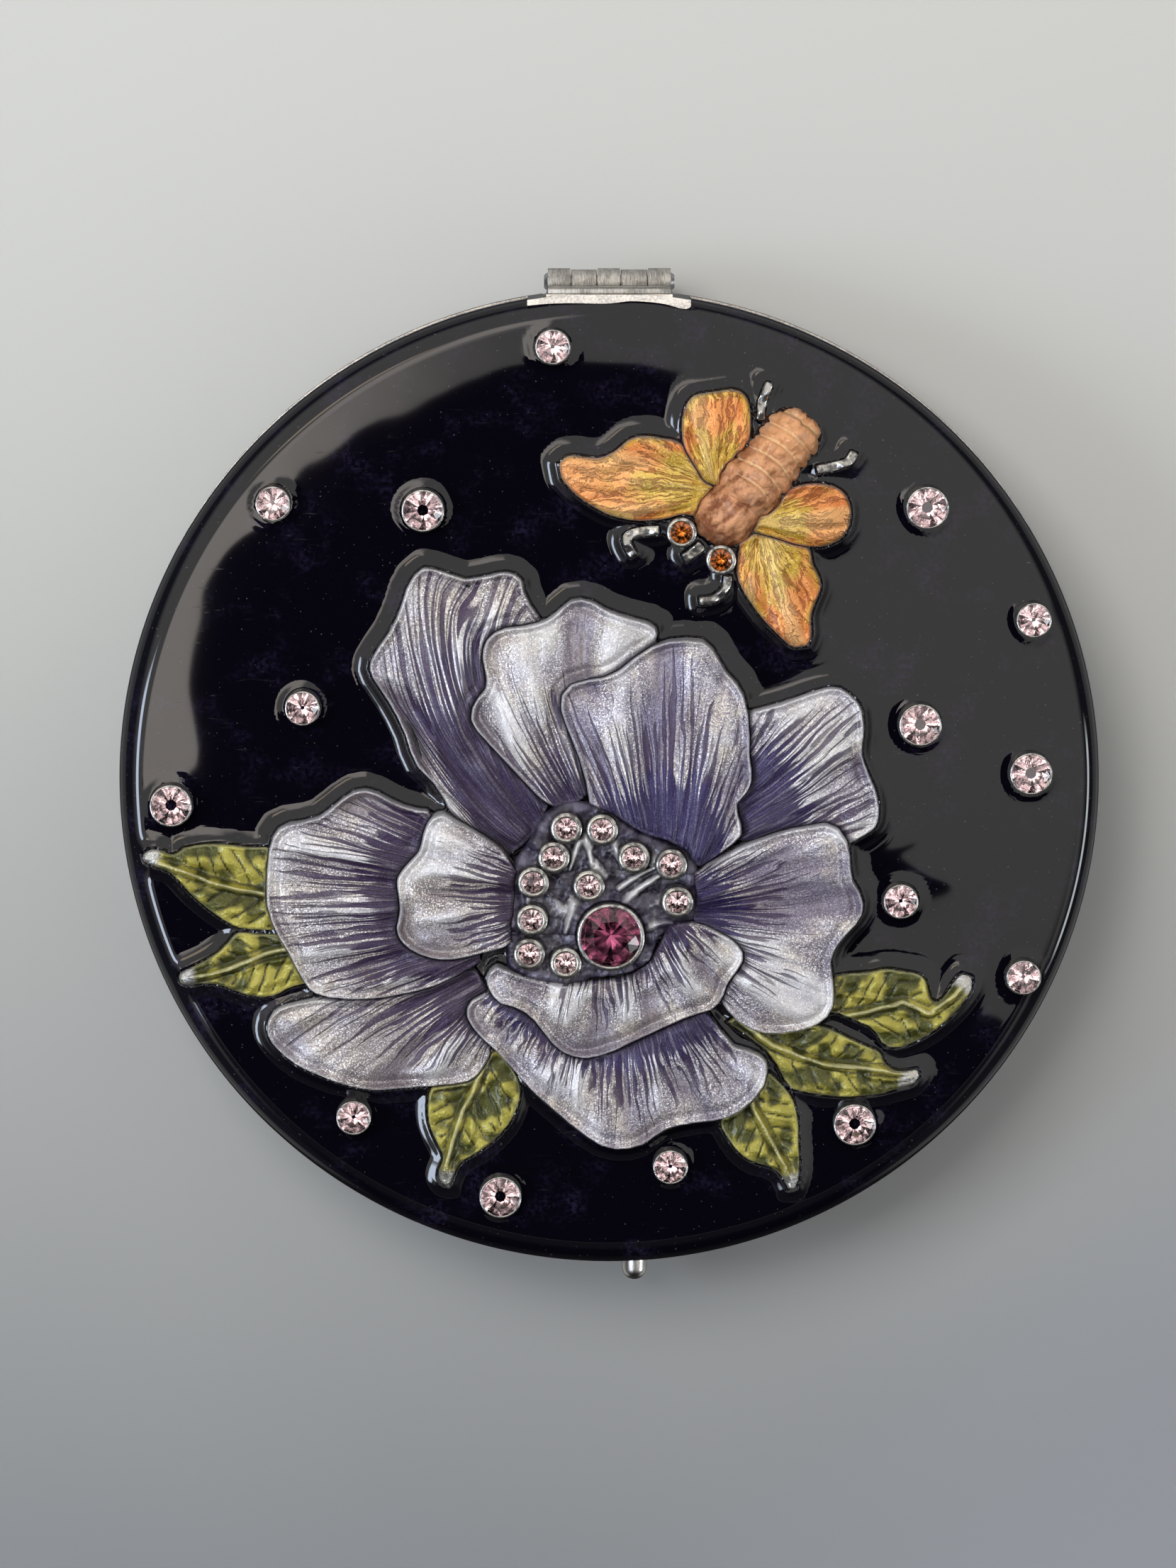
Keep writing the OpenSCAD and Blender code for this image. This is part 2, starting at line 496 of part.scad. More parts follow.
module base_shell() color("silver") difference() {
    union() {
        rotate_extrude($fn = FINE) polygon(concat(
            [[0, 0]], arc(base_r - base_round, base_round, base_round, -90, 0),
            [[base_r, base_h], [inner_r, base_h]],
            arc(inner_r - inside_round, plate_t + inside_round, inside_round, 0, -90),
            [[0, plate_t]]));
        translate([-seat_w/2, seat_from, 1]) cube([seat_w, hinge_flat_y - seat_from, base_h - 1]);
    }
    hinge_groove();
    translate([button_x, -base_r - 1, button_z]) rotate([-90, 0, 0])
        cylinder(d = button_d + 2*FIT, h = wall + 2, $fn = FINE);
}

module base_mirror_pad() color("dimgray")
    translate([0, 0, plate_t]) cylinder(r = mirror_r - 1, h = pad_t, $fn = FINE);

module base_mirror() color("lightcyan") {
    dip_r = ring_lip_in - 0.4;
    translate([0, 0, plate_t + pad_t]) rotate_extrude($fn = FINE) polygon(concat(
        [[0, 0], [mirror_r, 0], [mirror_r, mirror_t]],
        [for (i = [0:ARC_STEPS]) let (f = 1 - i/ARC_STEPS) [dip_r*f, mirror_t - magnifier_dip*(1 - f*f)]]));
}

// Ring round a mirror, standing on z = 0, with its lip over the glass
module mirror_ring(glass_top) {
    rotate_extrude($fn = FINE) polygon([
        [ring_in, 0], [ring_out, 0], [ring_out, glass_top + ring_lip_t - 0.15],
        [ring_out - 0.15, glass_top + ring_lip_t], [ring_lip_in + 0.1, glass_top + ring_lip_t],
        [ring_lip_in, glass_top + ring_lip_t - 0.1], [ring_lip_in, glass_top + TOUCH],
        [ring_in, glass_top + TOUCH]]);
}

module base_mirror_ring() color("gainsboro")
    translate([0, 0, plate_t]) mirror_ring(pad_t + mirror_t);

// Leaf with tabs to its knuckles: z runs from the plate's far edge to the pin
module hinge_leaf(numbers, far_z, bore_d) {
    near_z = far_z < hinge_z ? hinge_z - leaf_reach : hinge_z + leaf_reach;
    difference() {
        union() {
            translate([-hinge_w/2, hinge_flat_y, min(far_z, near_z)])
                cube([hinge_w, leaf_t, abs(near_z - far_z)]);
            for (i = numbers) {
                translate([knuckle_x(i), hinge_flat_y, min(hinge_z, near_z)])
                    cube([KNUCKLES[i], leaf_t, leaf_reach]);
                translate([knuckle_x(i), hinge_y, hinge_z]) rotate([0, 90, 0])
                    cylinder(d = knuckle_d, h = KNUCKLES[i], $fn = FINE);
            }
        }
        translate([-hinge_w, hinge_y, hinge_z]) rotate([0, 90, 0])
            cylinder(d = bore_d, h = 2*hinge_w, $fn = FINE);
    }
}

module base_hinge_leaf() color("slategray")
    hinge_leaf([0, 2, 4], base_leaf_low, pin_d + 2*TOUCH);

module lid_hinge_leaf() color("lightslategray")
    hinge_leaf([1, 3], lid_leaf_top, pin_d + 2*FIT);

module hinge_pin() color("whitesmoke") {
    head_t = 0.25;
    end = hinge_w/2 + TOUCH;
    translate([-end, hinge_y, hinge_z]) rotate([0, 90, 0]) cylinder(d = pin_d, h = 2*end, $fn = FINE);
    translate([-end - head_t, hinge_y, hinge_z]) rotate([0, 90, 0])
        cylinder(d1 = pin_d, d2 = pin_d + 0.4, h = head_t, $fn = FINE);
    translate([end, hinge_y, hinge_z]) rotate([0, 90, 0])
        cylinder(d1 = pin_d + 0.4, d2 = pin_d, h = head_t, $fn = FINE);
}

module push_button() color("white") {
    tip_y = -base_r - button_proud;
    dome = 0.6;
    translate([button_x, tip_y, button_z]) rotate([-90, 0, 0]) rotate_extrude($fn = FINE)
        polygon(concat([[0, 0]],
            [for (i = [1:ARC_STEPS]) let (a = 90*i/ARC_STEPS) [button_d/2*sin(a), dome*(1 - cos(a))]],
            [[button_d/2, plate_y - 0.7 - tip_y], [button_d/2 + 0.4, plate_y - 0.7 - tip_y],
             [button_d/2 + 0.4, plate_y - tip_y], [0, plate_y - tip_y]]));
}

module catch_plate() color("steelblue") {
    foot_z = plate_t + 0.1;
    translate([button_x - catch_w/2, plate_y, foot_z])
        cube([catch_w, plate_thick, base_h - 0.4 - foot_z]);
    translate([button_x - hook_w/2, plate_y, foot_z]) cube([hook_w, plate_thick, lip_z + lip_h - foot_z]);
    translate([button_x - hook_w/2, lip_y, lip_z]) rotate([90, 0, 90]) linear_extrude(hook_w)
        polygon([[0, 0], [0, 0.15], [0.35, lip_h], [plate_y - lip_y + 0.1, lip_h], [plate_y - lip_y + 0.1, 0]]);
}

module catch_guide() color("gray") {
    side = 0.9;
    inner = catch_w/2 + 0.1;
    high = 3.6;
    front = plate_y - 0.2;
    foot = plate_y + 0.6;
    back = guide_y + guide_t;
    for (x = [button_x - inner - side, button_x + inner]) {
        translate([x, foot, plate_t]) cube([side, back - foot, high]);
        translate([x, front, plate_t + inside_round]) cube([side, back - front, high - inside_round]);
    }
    translate([button_x - inner, guide_y, plate_t]) cube([2*inner, guide_t, high]);
}

// Bowed strip between the catch plate and its guide
module catch_spring() color("silver") {
    room = guide_y - plate_y - plate_thick - 2*TOUCH;
    strip = 0.15;
    half = 2.4;
    bow_r = (half*half + pow(room - strip, 2))/(2*(room - strip));
    translate([button_x, plate_y + plate_thick + TOUCH + bow_r, button_z - 0.6]) difference() {
        cylinder(r = bow_r, h = 1.2, $fn = FINE);
        translate([0, 0, -1]) cylinder(r = bow_r - strip, h = 4, $fn = FINE);
        translate([-2*bow_r, room - bow_r, -1]) cube([4*bow_r, 3*bow_r, 4]);
    }
}

module lid_metal_body() {
    metal_r = lid_r - enamel_t;
    line_top = lid_low + bare_line_h;
    rotate_extrude($fn = FINE) polygon(concat(
        [[inner_r, lid_low], [lid_r, lid_low], [lid_r, line_top]],
        lid_profile(metal_r, line_top, deck_z, shoulder_r - enamel_t),
        [[0, lid_under]],
        arc(inner_r - inside_round, lid_under - inside_round, inside_round, 90, 0)));
}

module lid_shell() color("darkgray") difference() {
    union() {
        lid_metal_body();
        intersection() {
            translate([0, 0, lid_low]) linear_extrude(lid_h) strip_footprint();
            union() {
                translate([0, 0, lid_low]) cylinder(r = lid_r, h = lid_h, $fn = FINE);
                translate([-seat_w/2, seat_from, lid_low])
                    cube([seat_w, hinge_flat_y - seat_from, lid_leaf_top - lid_low]);
            }
        }
    }
    translate([-hinge_flat_w, hinge_flat_y, lid_low - 1]) cube([2*hinge_flat_w, 3, lid_h + 2]);
    hinge_groove();
}

module lid_enamel() color("midnightblue") difference() {
    line_top = lid_low + bare_line_h;
    metal = lid_profile(lid_r - enamel_t, line_top, deck_z, shoulder_r - enamel_t);
    rotate_extrude($fn = FINE) polygon(concat(
        lid_profile(lid_r, line_top, enamel_z, shoulder_r),
        [for (i = [len(metal) - 1:-1:0]) metal[i]]));
    translate([0, 0, lid_low]) linear_extrude(lid_h + 2) strip_footprint();
    translate([0, 0, deck_z - 0.5]) linear_extrude(2) offset(delta = 2*relief_gap) relief_footprint();
    at_places(LARGE_SCATTER) cylinder(d = large_scatter_d + 2*bezel_t + 2*TOUCH, h = 20, $fn = FINE);
    at_places(SMALL_SCATTER) cylinder(d = small_scatter_d + 2*bezel_t + 2*TOUCH, h = 20, $fn = FINE);
    at_places(EYES) cylinder(d = small_stone_d + 2*bezel_t + 2*TOUCH, h = 20, $fn = FINE);
}

module lid_mirror_pad() color("dimgray")
    translate([0, 0, lid_under - pad_t]) cylinder(r = mirror_r - 1, h = pad_t, $fn = FINE);

module lid_mirror() color("lightcyan")
    translate([0, 0, lid_glass_low]) cylinder(r = mirror_r, h = mirror_t, $fn = FINE);

module lid_mirror_ring() color("gainsboro")
    translate([0, 0, lid_under]) mirror([0, 0, 1]) mirror_ring(pad_t + mirror_t);

module lid_hook() color("steelblue") intersection() {
    union() {
        translate([button_x - hook_w/2, -inner_r, hook_low]) cube([hook_w, 0.35, 2]);
        translate([button_x - hook_w/2, -inner_r, hook_low])
            cube([hook_w, inner_r + lip_y + catch_bite, tooth_h]);
    }
    cylinder(r = inner_r, h = 20, $fn = 4*FINE);
}

module flower_middle() color("dimgray") difference() {
    translate([0, 0, deck_z]) linear_extrude(boss_h) middle_footprint();
    at_places([CENTRE_STONE]) cylinder(d = centre_stone_d + 2*bezel_t + 2*TOUCH, h = 20, $fn = FINE);
}

module centre_bezel() color("silver")
    at_places([CENTRE_STONE]) bezel(centre_stone_d, deck_z, centre_girdle);

module centre_stone() color("mediumvioletred")
    at_places([CENTRE_STONE]) stone(centre_stone_d, centre_girdle);

module flower_bezels() color("silver")
    at_places(FLOWER_STONES) bezel(small_stone_d, boss_z, small_girdle);

module flower_stones() color("mistyrose")
    at_places(FLOWER_STONES) stone(small_stone_d, small_girdle);

module petal_back_right() color("lightsteelblue") petal(0);
module petal_front_inner() color("thistle") petal(1);
module petal_left_inner() color("lightsteelblue") petal(2);
module petal_right_front() color("thistle") petal(3);
module petal_back_middle() color("lavender") petal(4);
module petal_left_outer() color("lavender") petal(5);
module petal_front_outer() color("lightsteelblue") petal(6);
module petal_right_back() color("lavender") petal(7);
module petal_back_left() color("thistle") petal(8);
module petal_front_left() color("thistle") petal(9);

module leaf_right_upper() color("olivedrab") leaf(0);
module leaf_right_lower() color("darkolivegreen") leaf(1);
module leaf_front_right() color("olivedrab") leaf(2);
module leaf_front_left() color("olivedrab") leaf(3);
module leaf_left_upper() color("olivedrab") leaf(4);
module leaf_left_lower() color("darkolivegreen") leaf(5);

module left_forewing() color("chocolate") wing(2);
module left_hindwing() color("goldenrod") wing(0);
module right_forewing() color("chocolate") wing(3);
module right_hindwing() color("goldenrod") wing(1);

module moth_body() color("peru") intersection() {
    translate(concat(on_lid(BODY_HEAD), deck_z + BODY_LIFT)) rotate([0, 0, BODY_TURN])
        rotate([0, 90, 0]) scale(k) rotate_extrude($fn = FINE)
            polygon(concat([[0, 0]], [for (p = BODY) [p[1], p[0]]], [[0, BODY[len(BODY) - 1][0]]]));
    difference() {
        translate([-lid_r, -lid_r, deck_z]) cube([lid_d, lid_d, 6]);
        at_places(EYES) cylinder(d = small_stone_d + 2*bezel_t + 2*TOUCH, h = 20, $fn = FINE);
    }
}

module moth_feelers() color("silver")
    for (f = FEELERS) translate([0, 0, deck_z]) linear_extrude(FEELER_H) feeler_footprint(f);

module moth_eye_bezels() color("silver")
    at_places(EYES) bezel(small_stone_d, deck_z, eye_girdle);

module moth_eye_stones() color("darkorange")
    at_places(EYES) stone(small_stone_d, eye_girdle);

module scatter_bezels() color("silver") {
    at_places(LARGE_SCATTER) bezel(large_scatter_d, deck_z, scatter_girdle);
    at_places(SMALL_SCATTER) bezel(small_scatter_d, deck_z, scatter_girdle);
}

module scatter_stones() color("mistyrose") {
    at_places(LARGE_SCATTER) stone(large_scatter_d, scatter_girdle);
    at_places(SMALL_SCATTER) stone(small_scatter_d, scatter_girdle);
}

base_shell();
base_mirror();
base_mirror_pad();
base_mirror_ring();
base_hinge_leaf();
hinge_pin();
catch_guide();
catch_spring();
push_button();
catch_plate();
lid_shell();
lid_enamel();
lid_mirror();
lid_mirror_pad();
lid_mirror_ring();
lid_hinge_leaf();
lid_hook();
flower_middle();
centre_bezel();
centre_stone();
flower_bezels();
flower_stones();
petal_back_right();
petal_front_inner();
petal_left_inner();
petal_right_front();
petal_back_middle();
petal_left_outer();
petal_front_outer();
petal_right_back();
petal_back_left();
petal_front_left();
leaf_right_upper();
leaf_right_lower();
leaf_front_right();
leaf_front_left();
leaf_left_upper();
leaf_left_lower();
moth_body();
left_forewing();
left_hindwing();
right_forewing();
right_hindwing();
moth_feelers();
moth_eye_bezels();
moth_eye_stones();
scatter_bezels();
scatter_stones();
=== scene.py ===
# Looks of a round compact mirror: a dark enamelled lid with a flower and a moth in relief, set with stones.
import math

import bmesh
import bpy
import numpy as np
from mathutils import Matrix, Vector
from mathutils.kdtree import KDTree


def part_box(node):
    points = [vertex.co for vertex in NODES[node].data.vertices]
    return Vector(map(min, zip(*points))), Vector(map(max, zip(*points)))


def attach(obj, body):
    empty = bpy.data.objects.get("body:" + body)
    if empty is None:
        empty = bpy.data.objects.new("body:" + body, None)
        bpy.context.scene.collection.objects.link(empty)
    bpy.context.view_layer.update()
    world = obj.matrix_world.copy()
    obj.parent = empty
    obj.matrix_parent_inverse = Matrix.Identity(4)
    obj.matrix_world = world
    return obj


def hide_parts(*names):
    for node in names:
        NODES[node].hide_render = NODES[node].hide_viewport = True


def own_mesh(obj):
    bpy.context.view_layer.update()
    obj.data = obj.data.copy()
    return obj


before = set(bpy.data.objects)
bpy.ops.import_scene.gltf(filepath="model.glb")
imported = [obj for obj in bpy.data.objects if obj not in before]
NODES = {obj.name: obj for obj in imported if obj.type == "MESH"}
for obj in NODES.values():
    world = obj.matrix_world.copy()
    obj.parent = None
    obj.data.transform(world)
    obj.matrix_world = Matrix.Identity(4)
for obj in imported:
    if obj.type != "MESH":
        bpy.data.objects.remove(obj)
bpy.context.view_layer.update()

# Shapes are worked out in millimetres, and become metres when a piece is made
MM = 0.001
# Points of a CAD mesh closer than this (mm) are one point
MERGE = 0.001
# Distance (mm) that stands for nothing near
FAR = 9.0

# Heights and widths of the case, from the frame
DECK_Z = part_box("lid_shell")[1].z / MM
LID_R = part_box("lid_enamel")[1].x / MM
ENAMEL_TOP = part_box("lid_enamel")[1].z / MM
ENAMEL_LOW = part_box("lid_enamel")[0].z / MM


# Camera and light

PHOTO_WIDE = 1659
PHOTO_PX_PER_MM = 19.79
CAMERA_AWAY = 500
CAMERA_TILT = math.radians(8.4)
# Point of the deck in the middle of the picture
AIM = Vector((-1.51, 0, DECK_Z))
EYE = AIM + CAMERA_AWAY * Vector((0, math.sin(CAMERA_TILT), math.cos(CAMERA_TILT)))


def put(name, data):
    """New object at the origin of the scene."""
    item = bpy.data.objects.new(name, data)
    bpy.context.scene.collection.objects.link(item)
    return item


def place_camera():
    data = bpy.data.cameras.new("camera")
    data.sensor_fit = "HORIZONTAL"
    data.sensor_width = 36
    data.lens = PHOTO_PX_PER_MM * CAMERA_AWAY / PHOTO_WIDE * data.sensor_width
    data.clip_start = 0.01
    camera = put("camera", data)
    camera.location = EYE * MM
    camera.rotation_euler = (-CAMERA_TILT, 0, 0)
    bpy.context.scene.camera = camera


def area_light(name, place, size, power, colour):
    """Square light turned to the middle of the case."""
    data = bpy.data.lights.new(name, "AREA")
    data.size = size
    data.energy = power
    data.color = colour
    light = put(name, data)
    light.location = place
    light.rotation_euler = (-Vector(place)).to_track_quat("-Z", "Y").to_euler()
    light.visible_glossy = False


# Shader nodes as Python expressions

def operator(operation, turned=False):
    """Method of Wire for one operator, turned where the wire is its second operand."""
    def method(wire, other):
        a, b = (other, wire) if turned else (wire, other)
        return wire.maths(operation, a, b)
    return method


class Wire:
    """A socket of a material under construction."""

    def __init__(self, paint, socket):
        self.paint = paint
        self.socket = socket

    def maths(self, operation, a, b):
        return self.paint.add("ShaderNodeMath", {"operation": operation}, {0: a, 1: b})

    def rise(self, low, high):
        """0 under low, 1 over high, smooth in between."""
        return self.paint.add("ShaderNodeMapRange", {"interpolation_type": "SMOOTHSTEP"},
                              {0: self, 1: low, 2: high, 3: 0.0, 4: 1.0})

    def fall(self, low, high):
        """1 under low, 0 over high, smooth in between."""
        return 1 - self.rise(low, high)

    def band(self, low, full, ebb, high):
        """1 from full to ebb, 0 under low and over high."""
        return self.rise(low, full) * self.fall(ebb, high)

    __add__, __radd__ = operator("ADD"), operator("ADD", True)
    __sub__, __rsub__ = operator("SUBTRACT"), operator("SUBTRACT", True)
    __mul__, __rmul__ = operator("MULTIPLY"), operator("MULTIPLY", True)
    __truediv__, __rtruediv__ = operator("DIVIDE"), operator("DIVIDE", True)


class Paint:
    """One material, or the world, whose nodes are added one by one."""

    def __init__(self, owner):
        owner.use_nodes = True
        self.owner = owner
        self.tree = owner.node_tree
        self.tree.nodes.clear()
        self.where = None

    def add(self, kind, settings=None, values=None, output=0):
        node = self.tree.nodes.new(kind)
        for name, value in (settings or {}).items():
            setattr(node, name, value)
        for key, value in (values or {}).items():
            socket = node.inputs[key]
            if isinstance(value, Wire):
                self.tree.links.new(value.socket, socket)
            elif socket.type == "RGBA":
                socket.default_value = (*value, 1)
            else:
                socket.default_value = value
        return Wire(self, node.outputs[output] if len(node.outputs) else None)

    def parts(self, vector):
        node = self.add("ShaderNodeSeparateXYZ", values={0: vector}).socket.node
        return [Wire(self, node.outputs[i]) for i in range(3)]

    def packed(self, name):
        """The three numbers that an attribute of the piece holds."""
        return self.parts(self.add("ShaderNodeAttribute", {"attribute_name": name}, output="Vector"))

    def join(self, x, y, z):
        return self.add("ShaderNodeCombineXYZ", values={0: x, 1: y, 2: z})

    def place(self):
        """Object coordinates in millimetres."""
        if self.where is None:
            self.where = self.stretch(self.add("ShaderNodeTexCoord", output="Object"), (1 / MM,) * 3)
        return self.where

    def stretch(self, vector, factors):
        return self.add("ShaderNodeVectorMath", {"operation": "MULTIPLY"}, {0: vector, 1: factors})

    def noise(self, vector, scale=1.0, detail=2.0, rough=0.5):
        return self.add("ShaderNodeTexNoise", {"noise_dimensions": "3D"},
                        {"Vector": vector, "Scale": scale, "Detail": detail, "Roughness": rough})

    def spots(self, scale, **settings):
        """Noise over the piece itself."""
        return self.noise(self.place(), scale, **settings)

    def mix(self, factor, a, b):
        return self.add("ShaderNodeMix", {"data_type": "RGBA"}, {0: factor, 6: a, 7: b}, output=2)

    def over(self, colour, *coats):
        """Colour with others laid over it, each given as its share and itself."""
        for share, coat in coats:
            colour = self.mix(share, colour, coat)
        return colour

    def bump(self, height, depth, strength=1.0):
        """Normal from a height of 0 to 1, depth in millimetres."""
        return self.add("ShaderNodeBump",
                        values={"Strength": strength, "Distance": depth * MM, "Height": height})

    def shader(self, **values):
        names = {"colour": "Base Color", "rough": "Roughness", "metal": "Metallic", "coat": "Coat Weight",
                 "coat_rough": "Coat Roughness", "clear": "Transmission Weight", "ior": "IOR",
                 "normal": "Normal", "specular": "Specular IOR Level"}
        surface = self.add("ShaderNodeBsdfPrincipled",
                           values={names[key]: value for key, value in values.items()})
        self.add("ShaderNodeOutputMaterial", values={"Surface": surface})
        return self.owner


def new_paint(name):
    return Paint(bpy.data.materials.new(name))


def light_room():
    """Pale ceiling over dark walls, window and lamp on the left, lit gap on the right, someone in front."""
    world = bpy.data.worlds.new("room")
    bpy.context.scene.world = world
    paint = Paint(world)
    way = paint.add("ShaderNodeTexCoord", output="Generated")
    x, y, z = paint.parts(way)
    lit = (x * -1).band(0.01, 0.05, 0.09, 0.16) * z.rise(0.93, 0.97)
    ceiling = paint.mix(lit, (1.05, 1.02, 0.98), (3.7, 3.4, 3.15))
    walls = paint.mix((z * -1).band(0.03, 0.1, 0.72, 0.82), (0.085, 0.09, 0.105), (0.42, 0.42, 0.41))
    behind = y.maths("MAXIMUM", y, 0.0)
    room = paint.mix((z + behind * 0.5).rise(0.5, 0.82), walls, ceiling)
    person = (y * -1).rise(0.12, 0.4) * (x * x).fall(0.16, 0.3)
    turned = y / x
    left = (x * -1).rise(0.1, 0.2)
    window = left * turned.band(-0.02, 0.08, 0.8, 1.0) * z.band(0.78, 0.81, 0.88, 0.91)
    lamp = left * turned.band(-1.8, -1.4, -0.45, -0.3) * z.band(0.945, 0.955, 0.975, 0.985)
    gap = x.rise(0.3, 0.4) * turned.band(-0.62, -0.5, -0.1, 0.0)
    gap = gap * z.band(0.28, 0.34, 0.44, 0.5)
    room = paint.over(
        room, (person * 0.93, (0.0, 0.0, 0.0)), (window, (11.0, 12.7, 15.5)), (lamp, (4.6, 3.9, 3.0)),
        (gap, (9.0, 9.6, 10.0)))
    soft = paint.mix(z.rise(0.0, 0.9), (0.26, 0.27, 0.29), (0.52, 0.51, 0.49))
    spark = paint.noise(way, scale=2.2, detail=1.0).rise(0.38, 0.54)
    fire = paint.mix(spark, (0.26, 0.25, 0.27), (3.5, 3.35, 3.3))
    seen, felt, sparkle = (paint.add("ShaderNodeBackground", values={"Color": colour, "Strength": 1.0})
                           for colour in (room, soft, fire))
    mirrored = paint.add("ShaderNodeLightPath", output="Is Glossy Ray")
    through = paint.add("ShaderNodeLightPath", output="Is Transmission Ray")
    both = paint.add("ShaderNodeMixShader", values={0: mirrored, 1: felt, 2: seen})
    every = paint.add("ShaderNodeMixShader", values={0: through, 1: both, 2: sparkle})
    paint.add("ShaderNodeOutputWorld", values={"Surface": every})
    area_light("key light", (-0.26, 0.36, 0.66), 0.4, 3.15, (1, 0.985, 0.95))
    area_light("window light", (-0.6, 0.02, 0.36), 0.25, 1.6, (0.76, 0.88, 1))


# Outline of the dark card over the lid, as its reflection lies on the deck
CARD = [(5.2, 29.2), (-4.3, 30.4), (-12.2, 28.1), (-17.2, 25.8), (-21.4, 22.5), (-22.6, 19.7),
        (-26.2, 17.4), (-28.6, 13.5), (-29.9, 7.3), (-28.9, 2.2), (-31, 0.5), (-36, -1), (-60, -4.5),
        (-60, -59.5), (60, -59.5), (60, -29.5), (40, -23.5), (32, -20.5), (27.4, -17), (21, -16.5),
        (17.5, -13), (18.5, -10.5), (22, -10), (24.5, -8), (21, -5.5), (22, -4), (19, -4), (16, 2.5),
        (15.5, 8.5), (13.5, 10), (10, 14.5), (8, 20.5), (7, 24.5)]


def rounded(corners, steps):
    """Smooth closed line through the corners."""
    line = []
    for i in range(len(corners)):
        a, b, c, d = (Vector(corners[(i + k) % len(corners)]) for k in (-1, 0, 1, 2))
        for j in range(steps):
            u = j / steps
            line.append(b + 0.5 * u * (c - a + u * (2 * a - 5 * b + 4 * c - d + u * (3 * (b - c) + d - a))))
    return line


def hang_card():
    """Matt black card level with the camera, which only reflections see."""
    mirrored = Vector((EYE.x, EYE.y, 2 * DECK_Z - EYE.z))
    corners = [2 * Vector((x, y, DECK_Z)) - mirrored for x, y in rounded(CARD, 6)]
    mesh = mesh_of("card", [corner * MM for corner in corners], [range(len(corners))])
    paint = new_paint("card black")
    mesh.materials.append(paint.shader(colour=(0.004, 0.004, 0.005), rough=1.0, specular=0.0))
    card = put("card", mesh)
    card.visible_camera = False
    card.visible_diffuse = False
    card.visible_shadow = False


# Half the width of the floor, in metres
FLOOR_HALF = 1.5


def lay_floor():
    corners = [(-1, -1, 0), (1, -1, 0), (1, 1, 0), (-1, 1, 0)]
    mesh = mesh_of("floor", [FLOOR_HALF * Vector(corner) for corner in corners], [range(4)])
    floor = put("floor", mesh)
    floor.visible_glossy = False
    paint = new_paint("floor grey")
    x, y = paint.parts(paint.place())[:2]
    # Painted light: the floor grows lighter towards the back along a wavering edge, and a brighter blue-grey
    # towards the front right, as the light falls on it
    cloud = paint.spots(0.02, detail=3.0)
    painted_light_falloff = (y + cloud * 14).rise(-80, 70)
    colour = paint.over(
        (0.235, 0.245, 0.265), (painted_light_falloff, (0.66, 0.66, 0.64)), ((x - y).rise(55, 100), (0.31, 0.325, 0.36)))
    mesh.materials.append(paint.shader(colour=colour, rough=0.85))


# Mesh helpers

# Fineness (mm) and smoothing of the reliefs' meshes: what is usual, and where they differ from it
USUAL = (0.14, 5)
FINENESS = {"flower_middle": (0.11, 5), "moth_body": (0.12, 3)}


def arrays(mesh):
    """Vertices in millimetres, normals and faces of a mesh."""
    count = len(mesh.vertices)
    points = np.empty(count * 3)
    mesh.vertices.foreach_get("co", points)
    normals = np.empty(count * 3)
    mesh.vertices.foreach_get("normal", normals)
    faces = [tuple(face.vertices) for face in mesh.polygons]
    return points.reshape(-1, 3), normals.reshape(-1, 3), faces


def joined(node, scale=1):
    """A CAD node's mesh with its loose triangles joined, ready for editing."""
    loose = bmesh.new()
    loose.from_mesh(NODES[node].data)
    bmesh.ops.scale(loose, vec=(scale,) * 3, verts=loose.verts)
    bmesh.ops.remove_doubles(loose, verts=loose.verts, dist=MERGE * MM * scale)
    return loose


def new_mesh(name, loose):
    """Mesh of what was edited."""
    mesh = bpy.data.meshes.new(name)
    loose.to_mesh(mesh)
    loose.free()
    return mesh


def mesh_of(name, points, faces=()):
    mesh = bpy.data.meshes.new(name)
    mesh.from_pydata(points, [], faces)
    return mesh


def evaluated(item):
    """Mesh of an object as its modifiers make it."""
    return bpy.data.meshes.new_from_object(item.evaluated_get(bpy.context.evaluated_depsgraph_get()))


def fine_copy(node, voxel, smooth):
    """Even, fine mesh over a CAD node, in millimetres."""
    mesh = new_mesh("rough", joined(node, 1 / MM))
    rough = put("rough", mesh)
    remesh = rough.modifiers.new("remesh", "REMESH")
    remesh.mode = "VOXEL"
    remesh.voxel_size = voxel
    relax = rough.modifiers.new("relax", "SMOOTH")
    relax.factor = 0.5
    relax.iterations = smooth
    result = evaluated(rough)
    out = arrays(result)
    bpy.data.objects.remove(rough)
    bpy.data.meshes.remove(mesh)
    bpy.data.meshes.remove(result)
    return out


def make_piece(name, points, faces, material, attributes=None, body="lid"):
    """Smooth piece in place of the CAD node of its name, from points in millimetres."""
    mesh = mesh_of(name, (np.asarray(points) * MM).tolist(), faces)
    for label, columns in (attributes or {}).items():
        values = np.column_stack([np.broadcast_to(column, len(points)) for column in columns])
        mesh.attributes.new(label, "FLOAT_VECTOR", "POINT").data.foreach_set("vector", values.ravel())
    mesh.materials.append(material)
    mesh.shade_smooth()
    mesh.update()
    piece = put(name, mesh)
    keep(piece, body, (name,))
    return piece


def keep(piece, body, replaced):
    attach(piece, body)
    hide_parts(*replaced)


def angles_round(count, turn=0):
    return [(i + turn) * 2 * math.pi / count for i in range(count)]


def ring_faces(rings, steps, closed=False):
    """Quads between rings of points that follow one another, and back to the first where closed."""
    faces = []
    for i in range(rings if closed else rings - 1):
        m = (i + 1) % rings
        for j in range(steps):
            k = (j + 1) % steps
            faces.append((i * steps + j, i * steps + k, m * steps + k, m * steps + j))
    return faces


